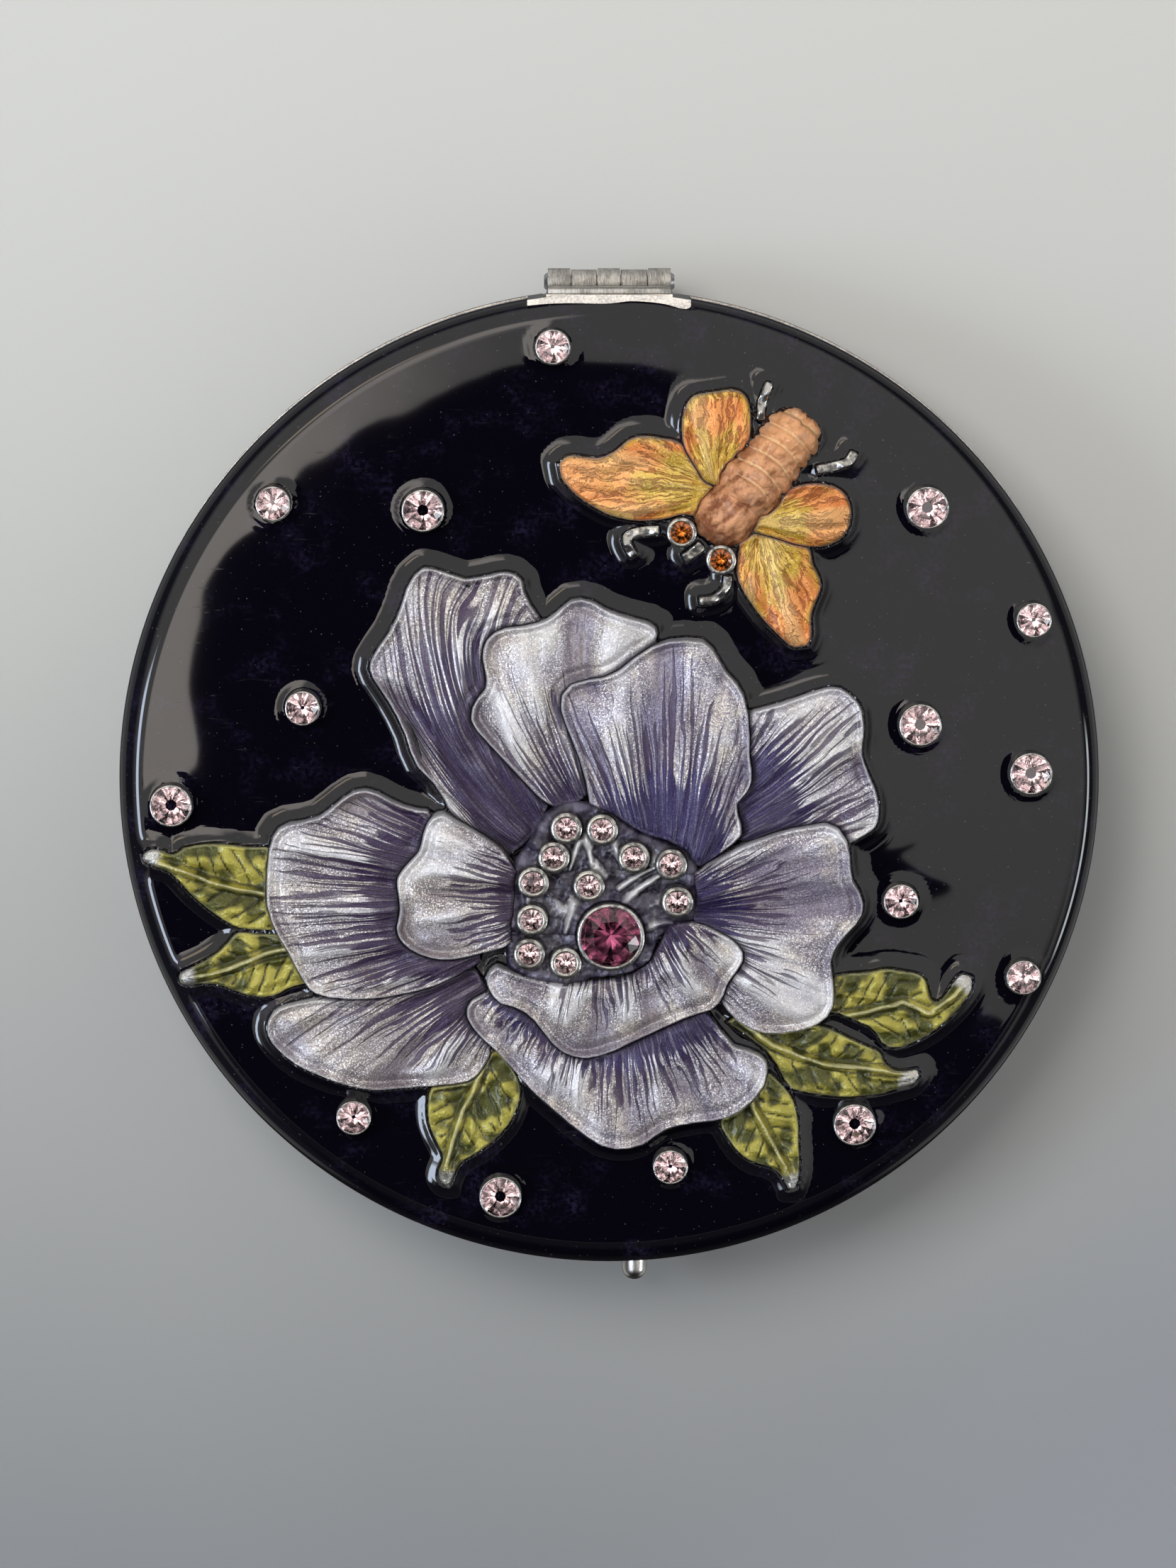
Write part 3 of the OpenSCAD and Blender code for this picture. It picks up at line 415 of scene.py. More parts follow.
def turned_faces(rings, steps):
    """Faces of a turned shape, whose two end points come after its rings."""
    faces = ring_faces(rings, steps)
    last = (rings - 1) * steps
    for j in range(steps):
        k = (j + 1) % steps
        faces += [(rings * steps, k, j), (rings * steps + 1, last + j, last + k)]
    return faces


def solids(node):
    """Vertices of each separate solid of a CAD node, in millimetres."""
    loose = joined(node)
    loose.verts.ensure_lookup_table()
    seen = set()
    groups = []
    for start in loose.verts:
        if start.index in seen:
            continue
        seen.add(start.index)
        stack, group = [start], []
        while stack:
            vert = stack.pop()
            group.append(vert.co / MM)
            for edge in vert.link_edges:
                other = edge.other_vert(vert)
                if other.index not in seen:
                    seen.add(other.index)
                    stack.append(other)
        groups.append(np.array(group))
    loose.free()
    return groups


def lattice(x, y, seed):
    """Smooth noise between 0 and 1 on a lattice of unit cells."""
    size = 256
    table = np.random.default_rng(seed).random((size, size))
    i, j = np.floor(x).astype(int), np.floor(y).astype(int)
    u, v = x - i, y - j
    u, v = u * u * (3 - 2 * u), v * v * (3 - 2 * v)
    i, j = i % size, j % size
    i1, j1 = (i + 1) % size, (j + 1) % size
    return ((table[i, j] * (1 - u) + table[i1, j] * u) * (1 - v)
            + (table[i, j1] * (1 - u) + table[i1, j1] * u) * v)


def ramp(x, low, high):
    u = np.clip((x - low) / (high - low), 0, 1)
    return u * u * (3 - 2 * u)


def bell(x, width):
    return np.exp(-(x / width) ** 2)


def polar(offset):
    return np.arctan2(offset[:, 1], offset[:, 0]), np.hypot(offset[:, 0], offset[:, 1])


def distance_to(points, places):
    """Distance in plan from each place to the nearest of the points."""
    tree = KDTree(len(points))
    for i, point in enumerate(points):
        tree.insert((point[0], point[1], 0), i)
    tree.balance()
    return np.array([tree.find((x, y, 0))[2] for x, y in places])


def along_line(line, places):
    """Distance along a line and signed distance from it, for each place."""
    line = np.array(line, float)
    best = np.full(len(places), 1e9)
    run = np.zeros(len(places))
    side = np.zeros(len(places))
    start = 0.0
    for a, b in zip(line[:-1], line[1:]):
        step = b - a
        length = np.hypot(*step)
        t = np.clip(((places - a) @ step) / length ** 2, 0, 1)
        foot = a + t[:, None] * step
        away = places - foot
        gap = np.hypot(away[:, 0], away[:, 1])
        closer = gap < best
        best = np.where(closer, gap, best)
        run = np.where(closer, start + t * length, run)
        side = np.where(closer, np.sign(step[0] * away[:, 1] - step[1] * away[:, 0]) * gap, side)
        start += length
    return run, side, start


# A relief's side walls: their normals lean up less than this, and they start this high (mm) over the deck
WALL_LEAN = 0.35
WALL_LOW = 0.5


def wall_points(node):
    """Points of a relief's side walls, in plan."""
    points, normals = CARVED[node][:2]
    upright = (np.abs(normals[:, 2]) < WALL_LEAN) & (points[:, 2] > DECK_Z + WALL_LOW)
    return points[upright][:, :2]


def seam_and_rim(node, above):
    """Distance of each point from the pieces that lie over it, and from its own walls."""
    places = CARVED[node][0][:, :2]
    walls = np.vstack([wall_points(name) for name in above])
    return distance_to(walls, places), distance_to(wall_points(node), places)


def opened(node):
    """A relief's points to be moved, how far it faces up (0 to 1), and its faces."""
    points, normals, faces = CARVED[node]
    return points.copy(), ramp(normals[:, 2], 0.3, 0.8), faces


def plan_noise(points, fineness, seed):
    """Smooth noise between -0.5 and 0.5, with so many cells to a millimetre."""
    return lattice(points[:, 0] * fineness, points[:, 1] * fineness, seed) - 0.5


# Flower

# Steps of a fan's outline
FAN_STEPS = 39


def fan_places(points, centre, turn):
    """How far across (mm) and how far out (0 to 1) each point lies in a fan of veins."""
    offset = points[:, :2] - centre
    angle, radius = polar(offset)
    middle = math.atan2(offset[:, 1].mean(), offset[:, 0].mean())
    angle = (angle - middle + math.pi) % (2 * math.pi) - math.pi
    bins = np.linspace(angle.min(), angle.max(), FAN_STEPS + 1)
    which = np.clip(np.digitize(angle, bins) - 1, 0, FAN_STEPS - 1)
    filled = [i for i in range(FAN_STEPS) if (which == i).any()]
    mids = ((bins[:-1] + bins[1:]) / 2)[filled]
    far, near = (np.interp(angle, mids, [reach(radius[which == i]) for i in filled])
                 for reach in (np.max, np.min))
    out = np.clip((radius - near.min()) / (far - near.min() + 0.01), 0, 1)
    across = (angle + turn * out ** 2) * radius.mean()
    return across, out


# Each petal, from the topmost down: where its veins meet, how they bend, how far out (0 to 1) the stain
# at its root reaches, and how blue that stain is
PETALS = {
    "petal_back_right": ((4.2, -11.5), 0.0, 0.38, 0.95),
    "petal_front_inner": ((0.2, -5), 0.0, 0.24, 0.35),
    "petal_left_inner": ((-1.5, -8.1), 0.0, 0.18, 0.1),
    "petal_right_front": ((2.5, -9), 0.0, 0.24, 0.8),
    "petal_back_middle": ((0.5, -6.5), 0.1, 0.18, 0.3),
    "petal_left_outer": ((-1.5, -8.5), 0.0, 0.53, 0.2),
    "petal_front_outer": ((0, -7.5), 0.0, 0.27, 0.6),
    "petal_right_back": ((2.5, -7.5), 0.0, 0.5, 0.7),
    "petal_back_left": ((-2.5, -6.5), 0.35, 0.66, 0.3),
    "petal_front_left": ((-3.5, -11), -0.1, 0.32, 0.15),
}
# Ridges (lift over 0) and hollows of the petals: line, lift and half width
CREASES = {
    "petal_back_left": [([(-9.6, 10.9), (-9.2, 8.5), (-9.6, 5.5), (-9.4, 2.5)], -0.4, 0.7),
                        ([(-8.3, 14.5), (-8, 12)], 0.2, 0.6), ([(-13.5, 14), (-12, 9.5)], 0.15, 0.8)],
    "petal_back_right": [([(2, 1.5), (1.2, 5.5), (0.6, 8.5)], 0.18, 0.8),
                         ([(8, 0.5), (8.6, 5.5), (9, 8.5)], 0.2, 0.7),
                         ([(9.5, 0.5), (10.3, 5.5), (10, 9)], -0.25, 0.4)],
    "petal_back_middle": [([(-4, 3.5), (-3.4, 8.5), (-3, 11.5)], -0.22, 0.6),
                          ([(-6.5, 1.5), (-7.4, 6.5)], 0.18, 0.7)],
    "petal_front_inner": [([(-6.5, -13.1), (-3.5, -14.1), (0, -14.7), (3, -14), (5.5, -11.5)], 0.28, 0.7)],
    "petal_front_outer": [([(3.2, -18.5), (3.8, -23.5)], 0.25, 0.6), ([(7.5, -18), (9.5, -21.5)], -0.2, 0.6)],
    "petal_right_front": [([(9, -9), (15, -8.5)], -0.15, 0.6), ([(8, -12.5), (14, -14)], 0.15, 0.8)],
    "petal_right_back": [([(11, -4.5), (16.5, 2)], 0.2, 1.0)],
    "petal_left_outer": [([(-12, -2.5), (-19, -1)], -0.18, 0.8), ([(-12, -11.5), (-21, -11.5)], 0.2, 1.0)],
}
# Where a petal turns down to the enamel: line of the fold, its points inwards, drop and run beside it
FOLDS = {
    "petal_back_left": ([(-17.6, 8), (-15.4, 7.8), (-14.1, 7.1), (-13.1, 5.9), (-12.6, 4.5), (-12.3, 2.5),
                         (-12, 0.5), (-11, -1.9), (-9, -5.5)], 0.55, 1.5),
}
# Flutes of a petal: height and width (mm), how many to its length, seed
FLUTES = [(0.9, 1.7, 1.8, 0), (0.22, 0.8, 3.0, 20), (0.07, 0.33, 6.0, 40)]


def petal(number, node, material):
    centre, turn, stain, blue = PETALS[node]
    points, top, faces = opened(node)
    across, out = fan_places(points, centre, turn)
    seam, edge = seam_and_rim(node, ["flower_middle"] + list(PETALS)[:number])
    flutes = sum(high * (lattice(across / wide, out * many, number + seed) - 0.5)
                 for high, wide, many, seed in FLUTES)
    for line, lift, width in CREASES.get(node, []):
        flutes += lift * bell(along_line(line, points[:, :2])[1], width)
    if node in FOLDS:
        line, drop, run = FOLDS[node]
        side = along_line(line, points[:, :2])[1]
        flutes -= drop * ramp(-side, 0.05, run) * ramp(out, 0.1, 0.3)
        flutes += 0.15 * bell(side - 0.1, 0.3)
    inside = ramp(edge, 0.0, 0.6)
    lip = 0.2 * bell(edge - 0.14, 0.16) - 0.26 * bell(edge - 0.56, 0.28)
    lip = lip * ramp(seam, 0.3, 0.7) * ramp(out, 0.35, 0.6)
    points[:, 2] += top * (flutes * (0.3 + 0.7 * inside) + lip)
    # The seam distance and the flute height are kept for petal_enamel, which paints shadow along the seams,
    # shade in the flutes' hollows and highlights on their ridges
    make_piece(node, points, faces, material,
               {"fan": (across, out, np.where(seam > 0.35, edge, 3)), "stain": (stain, blue, number * 7.3),
                "seam": (np.minimum(seam, FAR), flutes + 0.5, 0)})


def petal_enamel():
    paint = new_paint("pearly petal enamel")
    across, out, edge = paint.packed("fan")
    reach, blue, seed = paint.packed("stain")
    # seam feeds a painted shadow under the pieces that lie over the petal; flute, the flutes' height, feeds
    # painted shade in their hollows and painted highlights on their ridges
    seam, flute = paint.packed("seam")[:2]

    def streaks(wide, long, shift, **settings):
        """Noise drawn out along the veins."""
        return paint.noise(paint.join(across * wide, out * long, seed + shift), **settings)

    broad = streaks(0.9, 1.6, 0)
    length = streaks(1.6, 1.8, 5, detail=1.0)
    short = streaks(3.0, 3.4, 7, detail=1.0)
    fine = streaks(5.0, 4.5, 9, detail=3.0, rough=0.65)
    patch = streaks(0.35, 2.6, 21)
    near = (out + (broad - 0.5) * 0.8 + (0.32 - reach)).fall(0.25, 0.95)
    bend = broad * 3.2 + fine * 0.35
    veins = drawn_lines(across * 1.6 + bend, 0.25 * (length * 0.8 + near * 0.52).rise(0.44, 0.92))
    hairs = drawn_lines(across * 3.6 + bend * 1.7 + 3, 0.2 * (short * 0.8 + near * 0.36).rise(0.46, 0.85))
    line = (1 - (1 - veins) * (1 - hairs * 0.7)) * edge.rise(0.1, 0.35)
    wash = paint.noise(paint.join(across * 1.5 + broad * 2, out * 1.3, seed + 14), detail=3.0, rough=0.6)
    reached = (broad * 0.5 + short * 0.45 + (reach - out) * 2.6 + line * 0.3).rise(0.5, 0.66)
    # Painted shadow along the seams under the pieces that lie over the petal
    shade = (seam + (broad - 0.5) * 0.8).fall(0.05, 0.6)
    cloud = paint.spots(0.33)
    glitter = paint.spots(9.0)
    grain = paint.spots(4.5, detail=3.0, rough=0.7)
    low = paint.mix(blue, (0.155, 0.125, 0.14), (0.11, 0.09, 0.175))
    dark = paint.over(
        (0.04, 0.022, 0.048), (blue, (0.015, 0.008, 0.075)),
        (glitter.rise(0.52, 0.7) * 0.35, (0.15, 0.13, 0.32)))
    # Silver at the rim of the outer part of the petal: partly bare metal, partly a painted highlight on the
    # lip
    silver = edge.fall(0.03, 0.18) * out.rise(0.3, 0.5)
    colour = paint.over(
        (0.61, 0.54, 0.48), (cloud.rise(0.38, 0.62), (0.565, 0.53, 0.605)),
        (wash.fall(0.36, 0.62) * 0.62, low), (patch.rise(0.5, 0.66) * 0.55, low),
        (grain.fall(0.38, 0.54) * 0.62, low), (glitter.rise(0.53, 0.63) * 0.85, (1.0, 1.0, 1.0)),
        # Painted shade in the hollows of the flutes, then a painted highlight on their ridges
        (flute.fall(0.15, 0.5) * 0.7, low), (flute.rise(0.55, 0.85) * 0.5, (0.95, 0.95, 0.98)),
        (line * (0.64 + near * 0.34), (0.032, 0.014, 0.056)), (reached * 0.88, dark),
        (shade * 0.8, (0.03, 0.022, 0.042)), (silver * 0.5, (0.8, 0.8, 0.84)))
    grooves = paint.bump((1 - line) * 0.6 + fine * 0.3 + grain * 0.35, 0.14)
    return paint.shader(colour=colour, metal=0.3 + silver * 0.2, rough=0.42 - glitter * 0.2,
                        coat=0.1, coat_rough=0.2, normal=grooves)


def drawn_lines(run, width):
    """Thin lines one unit apart, whose width (0 to 0.5) may run out."""
    away = run.maths("PINGPONG", run, 0.5)
    return (width - away).rise(-0.05, 0.06) * width.rise(0.0, 0.06)


# Short silver ridges between the small stones: line and half width
STAMENS = [([(1.1, -8.1), (2.6, -6.9), (4.3, -5.9)], 0.3), ([(0.7, -7.2), (2.2, -6.2), (3.6, -5.6)], 0.22),
           ([(-1.6, -3.6), (-1.2, -5.5)], 0.34), ([(-2.5, -8.3), (-3.1, -10.4)], 0.4),
           ([(-2.2, -3.9), (-2.8, -5.9)], 0.25), ([(3.0, -9.9), (4.4, -9.5)], 0.3),
           ([(0.4, -4.0), (0.9, -5.8)], 0.28), ([(-5.6, -6.4), (-5.9, -9.5)], 0.3),
           ([(-2.2, -12.9), (-3.2, -13.9)], 0.3)]


def flower_middle(material):
    points, top, faces = opened("flower_middle")
    plan = points[:, :2].copy()
    angle, radius = polar(plan - solids("centre_stone")[0].mean(0)[:2])
    outside = ramp(radius, 3.4, 3.8)
    lumps, grain = plan_noise(points, 1.3, 4), plan_noise(points, 3.5, 5)
    raised = 0.6 * ramp(lattice(angle * 5.0 + 40, radius * 0.45, 3), 0.5, 0.95)
    skirt = 1 - ramp(distance_to(wall_points("flower_middle"), plan) + 0.8 * lumps, 0.1, 1.3)
    cups = [(solid.min(0) + solid.max(0))[:2] / 2 for solid in solids("flower_bezels")]
    # gap: distance outside the cups and the centre stone's ring, where dark_relief paints a shadow
    gap = np.minimum(distance_to(cups, plan) - 1.1, radius - 2.4)
    for line, width in STAMENS:
        run, side, length = along_line(line, plan)
        raised = np.maximum(raised, bell(side, width * (1.1 - 0.7 * run / length)))
    points[:, :2] += CARVED["flower_middle"][1][:, :2] * (0.45 * outside)[:, None]
    points[:, 2] += top * (0.5 * raised + 0.3 * lumps + 0.12 * grain - 0.16 + 0.34 * skirt)
    high = 0.75 * raised + 0.15 * (lumps + 0.5) + 0.12 * (grain + 0.5)
    # worn carries the worn height of the ridges, the skirt, and the gap that dark_relief paints as a shadow
    # round the cups
    make_piece("flower_middle", points, faces, material,
               {"worn": (high, skirt, gap), "fan": (angle * 4, radius, 0)})


def dark_relief():
    paint = new_paint("dark relief")
    high, skirt, gap = paint.packed("worn")
    across, radius = paint.packed("fan")[:2]
    speck = paint.spots(3.0, detail=3.0)
    cloud = paint.spots(0.9)
    streak = paint.noise(paint.join(across * 1.2, radius * 0.6, 0.0), detail=3.0, rough=0.6)
    petal_like = paint.mix(streak.rise(0.42, 0.64), (0.014, 0.008, 0.03), (0.13, 0.12, 0.17))
    colour = paint.over(
        (0.018, 0.014, 0.028), (cloud.rise(0.4, 0.6), (0.085, 0.08, 0.105)),
        (speck.rise(0.52, 0.7) * 0.5, (0.26, 0.25, 0.3)),
        ((high + (speck - 0.5) * 0.5).rise(0.22, 0.8), (0.74, 0.73, 0.75)), (skirt * 0.9, petal_like),
        # Painted shadow in a narrow ring round each cup and the centre stone
        (gap.fall(0.0, 0.28) * 0.8, (0.016, 0.012, 0.02)))
    return paint.shader(colour=colour, metal=0.4, rough=0.4,
                        coat=0.15, coat_rough=0.1, normal=paint.bump(speck * 0.5 + streak * 0.5, 0.12))


# Leaves: line of each one's midrib, from its root to its tip
LEAVES = {
    "leaf_right_upper": [(15.4, -16.9), (18.5, -16.3), (21, -15.6), (22.9, -16.4), (24.6, -15.2),
                         (25.8, -13.8)],
    "leaf_right_lower": [(9.5, -17.1), (11.7, -18.7), (13.5, -19.5), (15.5, -20.1), (19, -20.5),
                         (22, -20.9)],
    "leaf_front_right": [(10, -21.5), (10.3, -23.3), (11, -24.5), (11.8, -26), (12.6, -27.5), (13, -29.3)],
    "leaf_front_left": [(-9, -20.1), (-9.6, -21.8), (-10.5, -23.5), (-11.2, -25.7), (-11.7, -27.5),
                        (-11.8, -29)],
    "leaf_left_upper": [(-23.7, -7.9), (-26.2, -7.5), (-28.5, -6.9), (-30.4, -6.1), (-33.2, -5.3)],
    "leaf_left_lower": [(-22, -11.5), (-24.5, -12.1), (-27.2, -13.2), (-29, -13.7), (-30.7, -14)],
}

# Distance (mm) between a leaf's veins
VEINS_APART = 1.25


def leaf(number, node, material):
    points, top, faces = opened(node)
    run, side, length = along_line(LEAVES[node], points[:, :2])
    seam, edge = seam_and_rim(node, list(PETALS) + list(LEAVES)[:number])
    wide = np.abs(side)
    rib = bell(side, 0.22)
    groove = bell(wide - 0.42, 0.16)
    wave = (run - wide * 0.9 + 0.35 * np.sign(side)) / VEINS_APART
    vein = bell((wave + 0.25 * lattice(run, wide, number) - np.round(wave)) * VEINS_APART, 0.14)
    vein *= ramp(wide, 0.35, 0.7) * ramp(edge, 0.1, 0.5)
    tip = ramp(run, length - 1.8, length - 0.3)
    cup = plan_noise(points, 1.1, number + 60)
    carved = 0.28 * rib - 0.14 * groove - 0.18 * vein + 0.36 * cup + 0.14 * bell(edge, 0.3)
    points[:, 2] += top * (1 - tip) * carved
    # cup, the height of the leaf's bumps, and seam, the distance from the pieces over it, feed painted light
    # and painted shade in leaf_enamel
    make_piece(node, points, faces, material,
               {"leafy": (rib, np.maximum(vein, groove * 0.8), tip),
                "edge": (edge, np.minimum(seam, FAR), cup + 0.5)})


def leaf_enamel():
    paint = new_paint("pearly olive enamel")
    rib, vein, tip = paint.packed("leafy")
    edge, seam, cup = paint.packed("edge")
    cloud = paint.spots(0.7, detail=3.0)
    grain = paint.spots(4.5, detail=3.0, rough=0.6)
    # Dark patina in the veins and grooves, with painted shade next to the pieces that lie over the leaf
    dark = (vein + (grain - 0.5) * 0.7 + seam.fall(0.1, 1.1) * 0.5).rise(0.3, 0.85)
    bare = tip.rise(0.2, 0.8)
    # Lighter olive partly at random and partly painted light on the higher bumps
    colour = paint.over(
        (0.07, 0.072, 0.012), ((cloud + (cup - 0.5) * 0.9).rise(0.34, 0.66), (0.4, 0.355, 0.065)),
        (dark * 0.9, (0.022, 0.021, 0.008)), (grain.rise(0.58, 0.8) * 0.5, (0.5, 0.5, 0.16)),
        (rib.rise(0.45, 0.95) * 0.65, (0.62, 0.58, 0.3)),
        (edge.fall(0.02, 0.2) * 0.4, (0.62, 0.6, 0.34)), (bare * 0.85, (0.52, 0.51, 0.5)))
    return paint.shader(colour=colour, metal=0.45 + bare * 0.4, rough=0.32 + cloud * 0.1, coat=0.25,
                        coat_rough=0.1, normal=paint.bump(grain, 0.1, 0.8))


# Moth: where each wing's ribs meet, and its seed
WINGS = {
    "left_forewing": ((8.5, 21.1), 11),
    "left_hindwing": ((7.6, 21.1), 12),
    "right_forewing": ((10.6, 19.1), 13),
    "right_hindwing": ((9.8, 18.9), 14),
}


def wing(node, material):
    centre, seed = WINGS[node]
    points, top, faces = opened(node)
    across, out = fan_places(points, centre, 0.0)
    edge = distance_to(wall_points(node), points[:, :2])
    ribs = lattice(across / 1.1 + seed, out * 1.2, seed) - 0.5
    fine = lattice(across / 0.4, out * 3, seed + 9) - 0.5
    points[:, 2] += top * (ramp(edge, 0, 0.6) * (0.5 * ribs + 0.12 * fine) + 0.14 * bell(edge - 0.15, 0.25))
    # ribs, the height of the ribs, feeds painted shade and painted highlights in wing_enamel
    make_piece(node, points, faces, material,
               {"fan": (across, out, edge), "ribs": (ribs + 0.5, seed, 0)})


def wing_enamel():
    paint = new_paint("pearly orange enamel")
    across, out, edge = paint.packed("fan")
    ribs, seed = paint.packed("ribs")[:2]
    cloud = paint.spots(0.6)
    grain = paint.spots(7.0)
    line = paint.noise(paint.join(across * 2.0 + cloud * 3.0, out * 2.2, seed), detail=4.0, rough=0.65)
    orange = paint.mix((line + cloud).rise(0.8, 1.12), (0.6, 0.17, 0.035), (0.9, 0.36, 0.11))
    outer = (out + (line - 0.5) * 0.5 + (cloud - 0.5) * 0.9).rise(0.42, 0.74)
    gilt = edge.fall(0.15, 0.75) * paint.spots(0.35, detail=1.0).rise(0.46, 0.58)
    vein = drawn_lines(across * 1.2 + line * 4.5, 0.2 * (cloud + line * 0.6).rise(0.62, 0.85))
    colour = paint.over(
        (0.54, 0.32, 0.03), (cloud.rise(0.35, 0.65), (0.88, 0.6, 0.13)),
        (outer * (1 - gilt * 0.8), orange),
        (grain.rise(0.55, 0.72) * (1 - outer) * 0.6, (0.95, 0.85, 0.35)),
        # Painted shade in the hollows between the ribs
        (((0.5 - ribs) + (line - 0.5) * 0.5).rise(0.05, 0.35) * 0.45, (0.45, 0.13, 0.02)),
        (vein * 0.7, (0.28, 0.06, 0.012)),
        # Painted highlight on the raised ribs
        ((ribs + (grain - 0.5) * 0.5).rise(0.64, 0.9) * 0.3, (0.98, 0.76, 0.36)),
        (edge.fall(0.03, 0.16) * 0.45, (0.62, 0.58, 0.56)))
    return paint.shader(colour=colour, metal=0.4, rough=0.38, coat=0.15, coat_rough=0.15,
                        normal=paint.bump(vein * -0.5 + line * 0.5 + grain * 0.35, 0.14))


# Tip of the moth's head, the way its body points, and the distance (mm) between the rings of its tail
HEAD = np.array((7.0, 17.7))
BODY_TURN = math.radians(51)
RINGS_APART = 1.1


def moth_body(material):
    points, normals, faces = CARVED["moth_body"]
    axis = np.array((math.cos(BODY_TURN), math.sin(BODY_TURN)))
    offset = points[:, :2] - HEAD
    run = offset @ axis
    side = offset @ np.array((-axis[1], axis[0]))
    rings = bell((run + 0.12 * side ** 2 - 4.6) % RINGS_APART - RINGS_APART / 2, 0.13) * ramp(run, 4.4, 5.2)
    fur = lattice(run * 1.6 + side, side * 4.2, 31) - 0.5
    lumps = lattice(run * 1.4, side * 1.6, 32) - 0.5
    fine = lattice(run * 5, side * 8, 33) - 0.5
    lift = 0.18 + 0.22 * lumps + 0.12 * fur + 0.06 * fine - 0.22 * rings
    points = points + normals * (lift * ramp(points[:, 2], DECK_Z + 0.1, DECK_Z + 0.7))[:, None]
    make_piece("moth_body", points, faces, material,
               {"fur": ((lumps + fur) / 2 + 0.5, rings, run)})


def body_enamel():
    paint = new_paint("brown furry enamel")
    tuft, rings, run = paint.packed("fur")
    speck = paint.spots(4.0, detail=4.0, rough=0.6)
    cloud = paint.spots(0.8)
    colour = paint.over(
        (0.27, 0.095, 0.04), ((tuft + (speck - 0.5) * 0.6).rise(0.3, 0.7), (0.7, 0.34, 0.17)),
        (run.rise(4.5, 9.5) * 0.65, (0.86, 0.42, 0.19)),
        (cloud.rise(0.5, 0.7) * 0.5, (0.74, 0.46, 0.32)),
        (rings.rise(0.5, 0.95) * 0.7, (0.9, 0.62, 0.34)))
    return paint.shader(colour=colour, metal=0.3, rough=0.45, coat=0.15, coat_rough=0.15,
                        normal=paint.bump(speck, 0.12, 0.8))


def moth_feelers(material):
    points, normals, faces = fine_copy("moth_feelers", 0.08, 4)
    bend = plan_noise(points, 1.5, 51)
    points += normals * 0.08
    points[:, 2] += ramp(normals[:, 2], 0.2, 0.9) * 0.4 * bend
    make_piece("moth_feelers", points, faces, material)


# Enamel of the lid

ENAMEL_TURNS = 552
DECK_RINGS = 148
SHOULDER_RINGS = 16
SHOULDER_R = 1.8
# Height of the side under the shoulder, and how far in it leans
SIDE_HIGH = 1.9
SIDE_LEAN = 0.12
# Edge of the enamel along the bare strip at the hinge
BARE_EDGE = [(-5.8, 34.12), (-4.2, 34.27), (-2.4, 34.3), (-0.3, 34.27), (0.7, 34.36), (1.5, 34.45),
             (2.7, 34.39), (3.9, 34.24), (5, 33.94), (5.5, 33.91), (5.75, 34.07)]


# Distance (mm) between points along a relief's outline. An edge of more steps lies inside the outline.
OUTLINE_STEP = 0.12
OUTLINE_STEPS = 40

# How the names of the reliefs begin
RELIEF_STARTS = ("petal", "leaf", "left_", "right_", "moth_body", "moth_feelers", "flower_middle")


def relief_outline():
    """Points round the flower and the moth, round the leaves, and round the cups of the stones."""
    tall, leaves, cups = [], [], []
    for node, item in NODES.items():
        if node.startswith(RELIEF_STARTS):
            points = np.array([v.co for v in item.data.vertices]) / MM
            edges = np.array([e.vertices[:] for e in item.data.edges])
            low = np.abs(points[:, 2] - DECK_Z) < 0.02
            both = edges[low[edges[:, 0]] & low[edges[:, 1]]]
            found = leaves if node.startswith("leaf") else tall
            for a, b in points[both][:, :, :2]:
                steps = max(1, int(np.hypot(*(b - a)) / OUTLINE_STEP))
                if steps < OUTLINE_STEPS:
                    found.extend(a + (b - a) * i / steps for i in range(steps + 1))
    for solid in solids("scatter_bezels") + solids("moth_eye_bezels"):
        low, high = solid.min(0), solid.max(0)
        middle, radius = (low + high)[:2] / 2, (high - low)[0] / 2
        cups.extend(middle + radius * np.array((math.cos(a), math.sin(a)))
                    for a in np.linspace(0, 2 * math.pi, 60))
    return np.array(tall), np.array(leaves), np.array(cups)


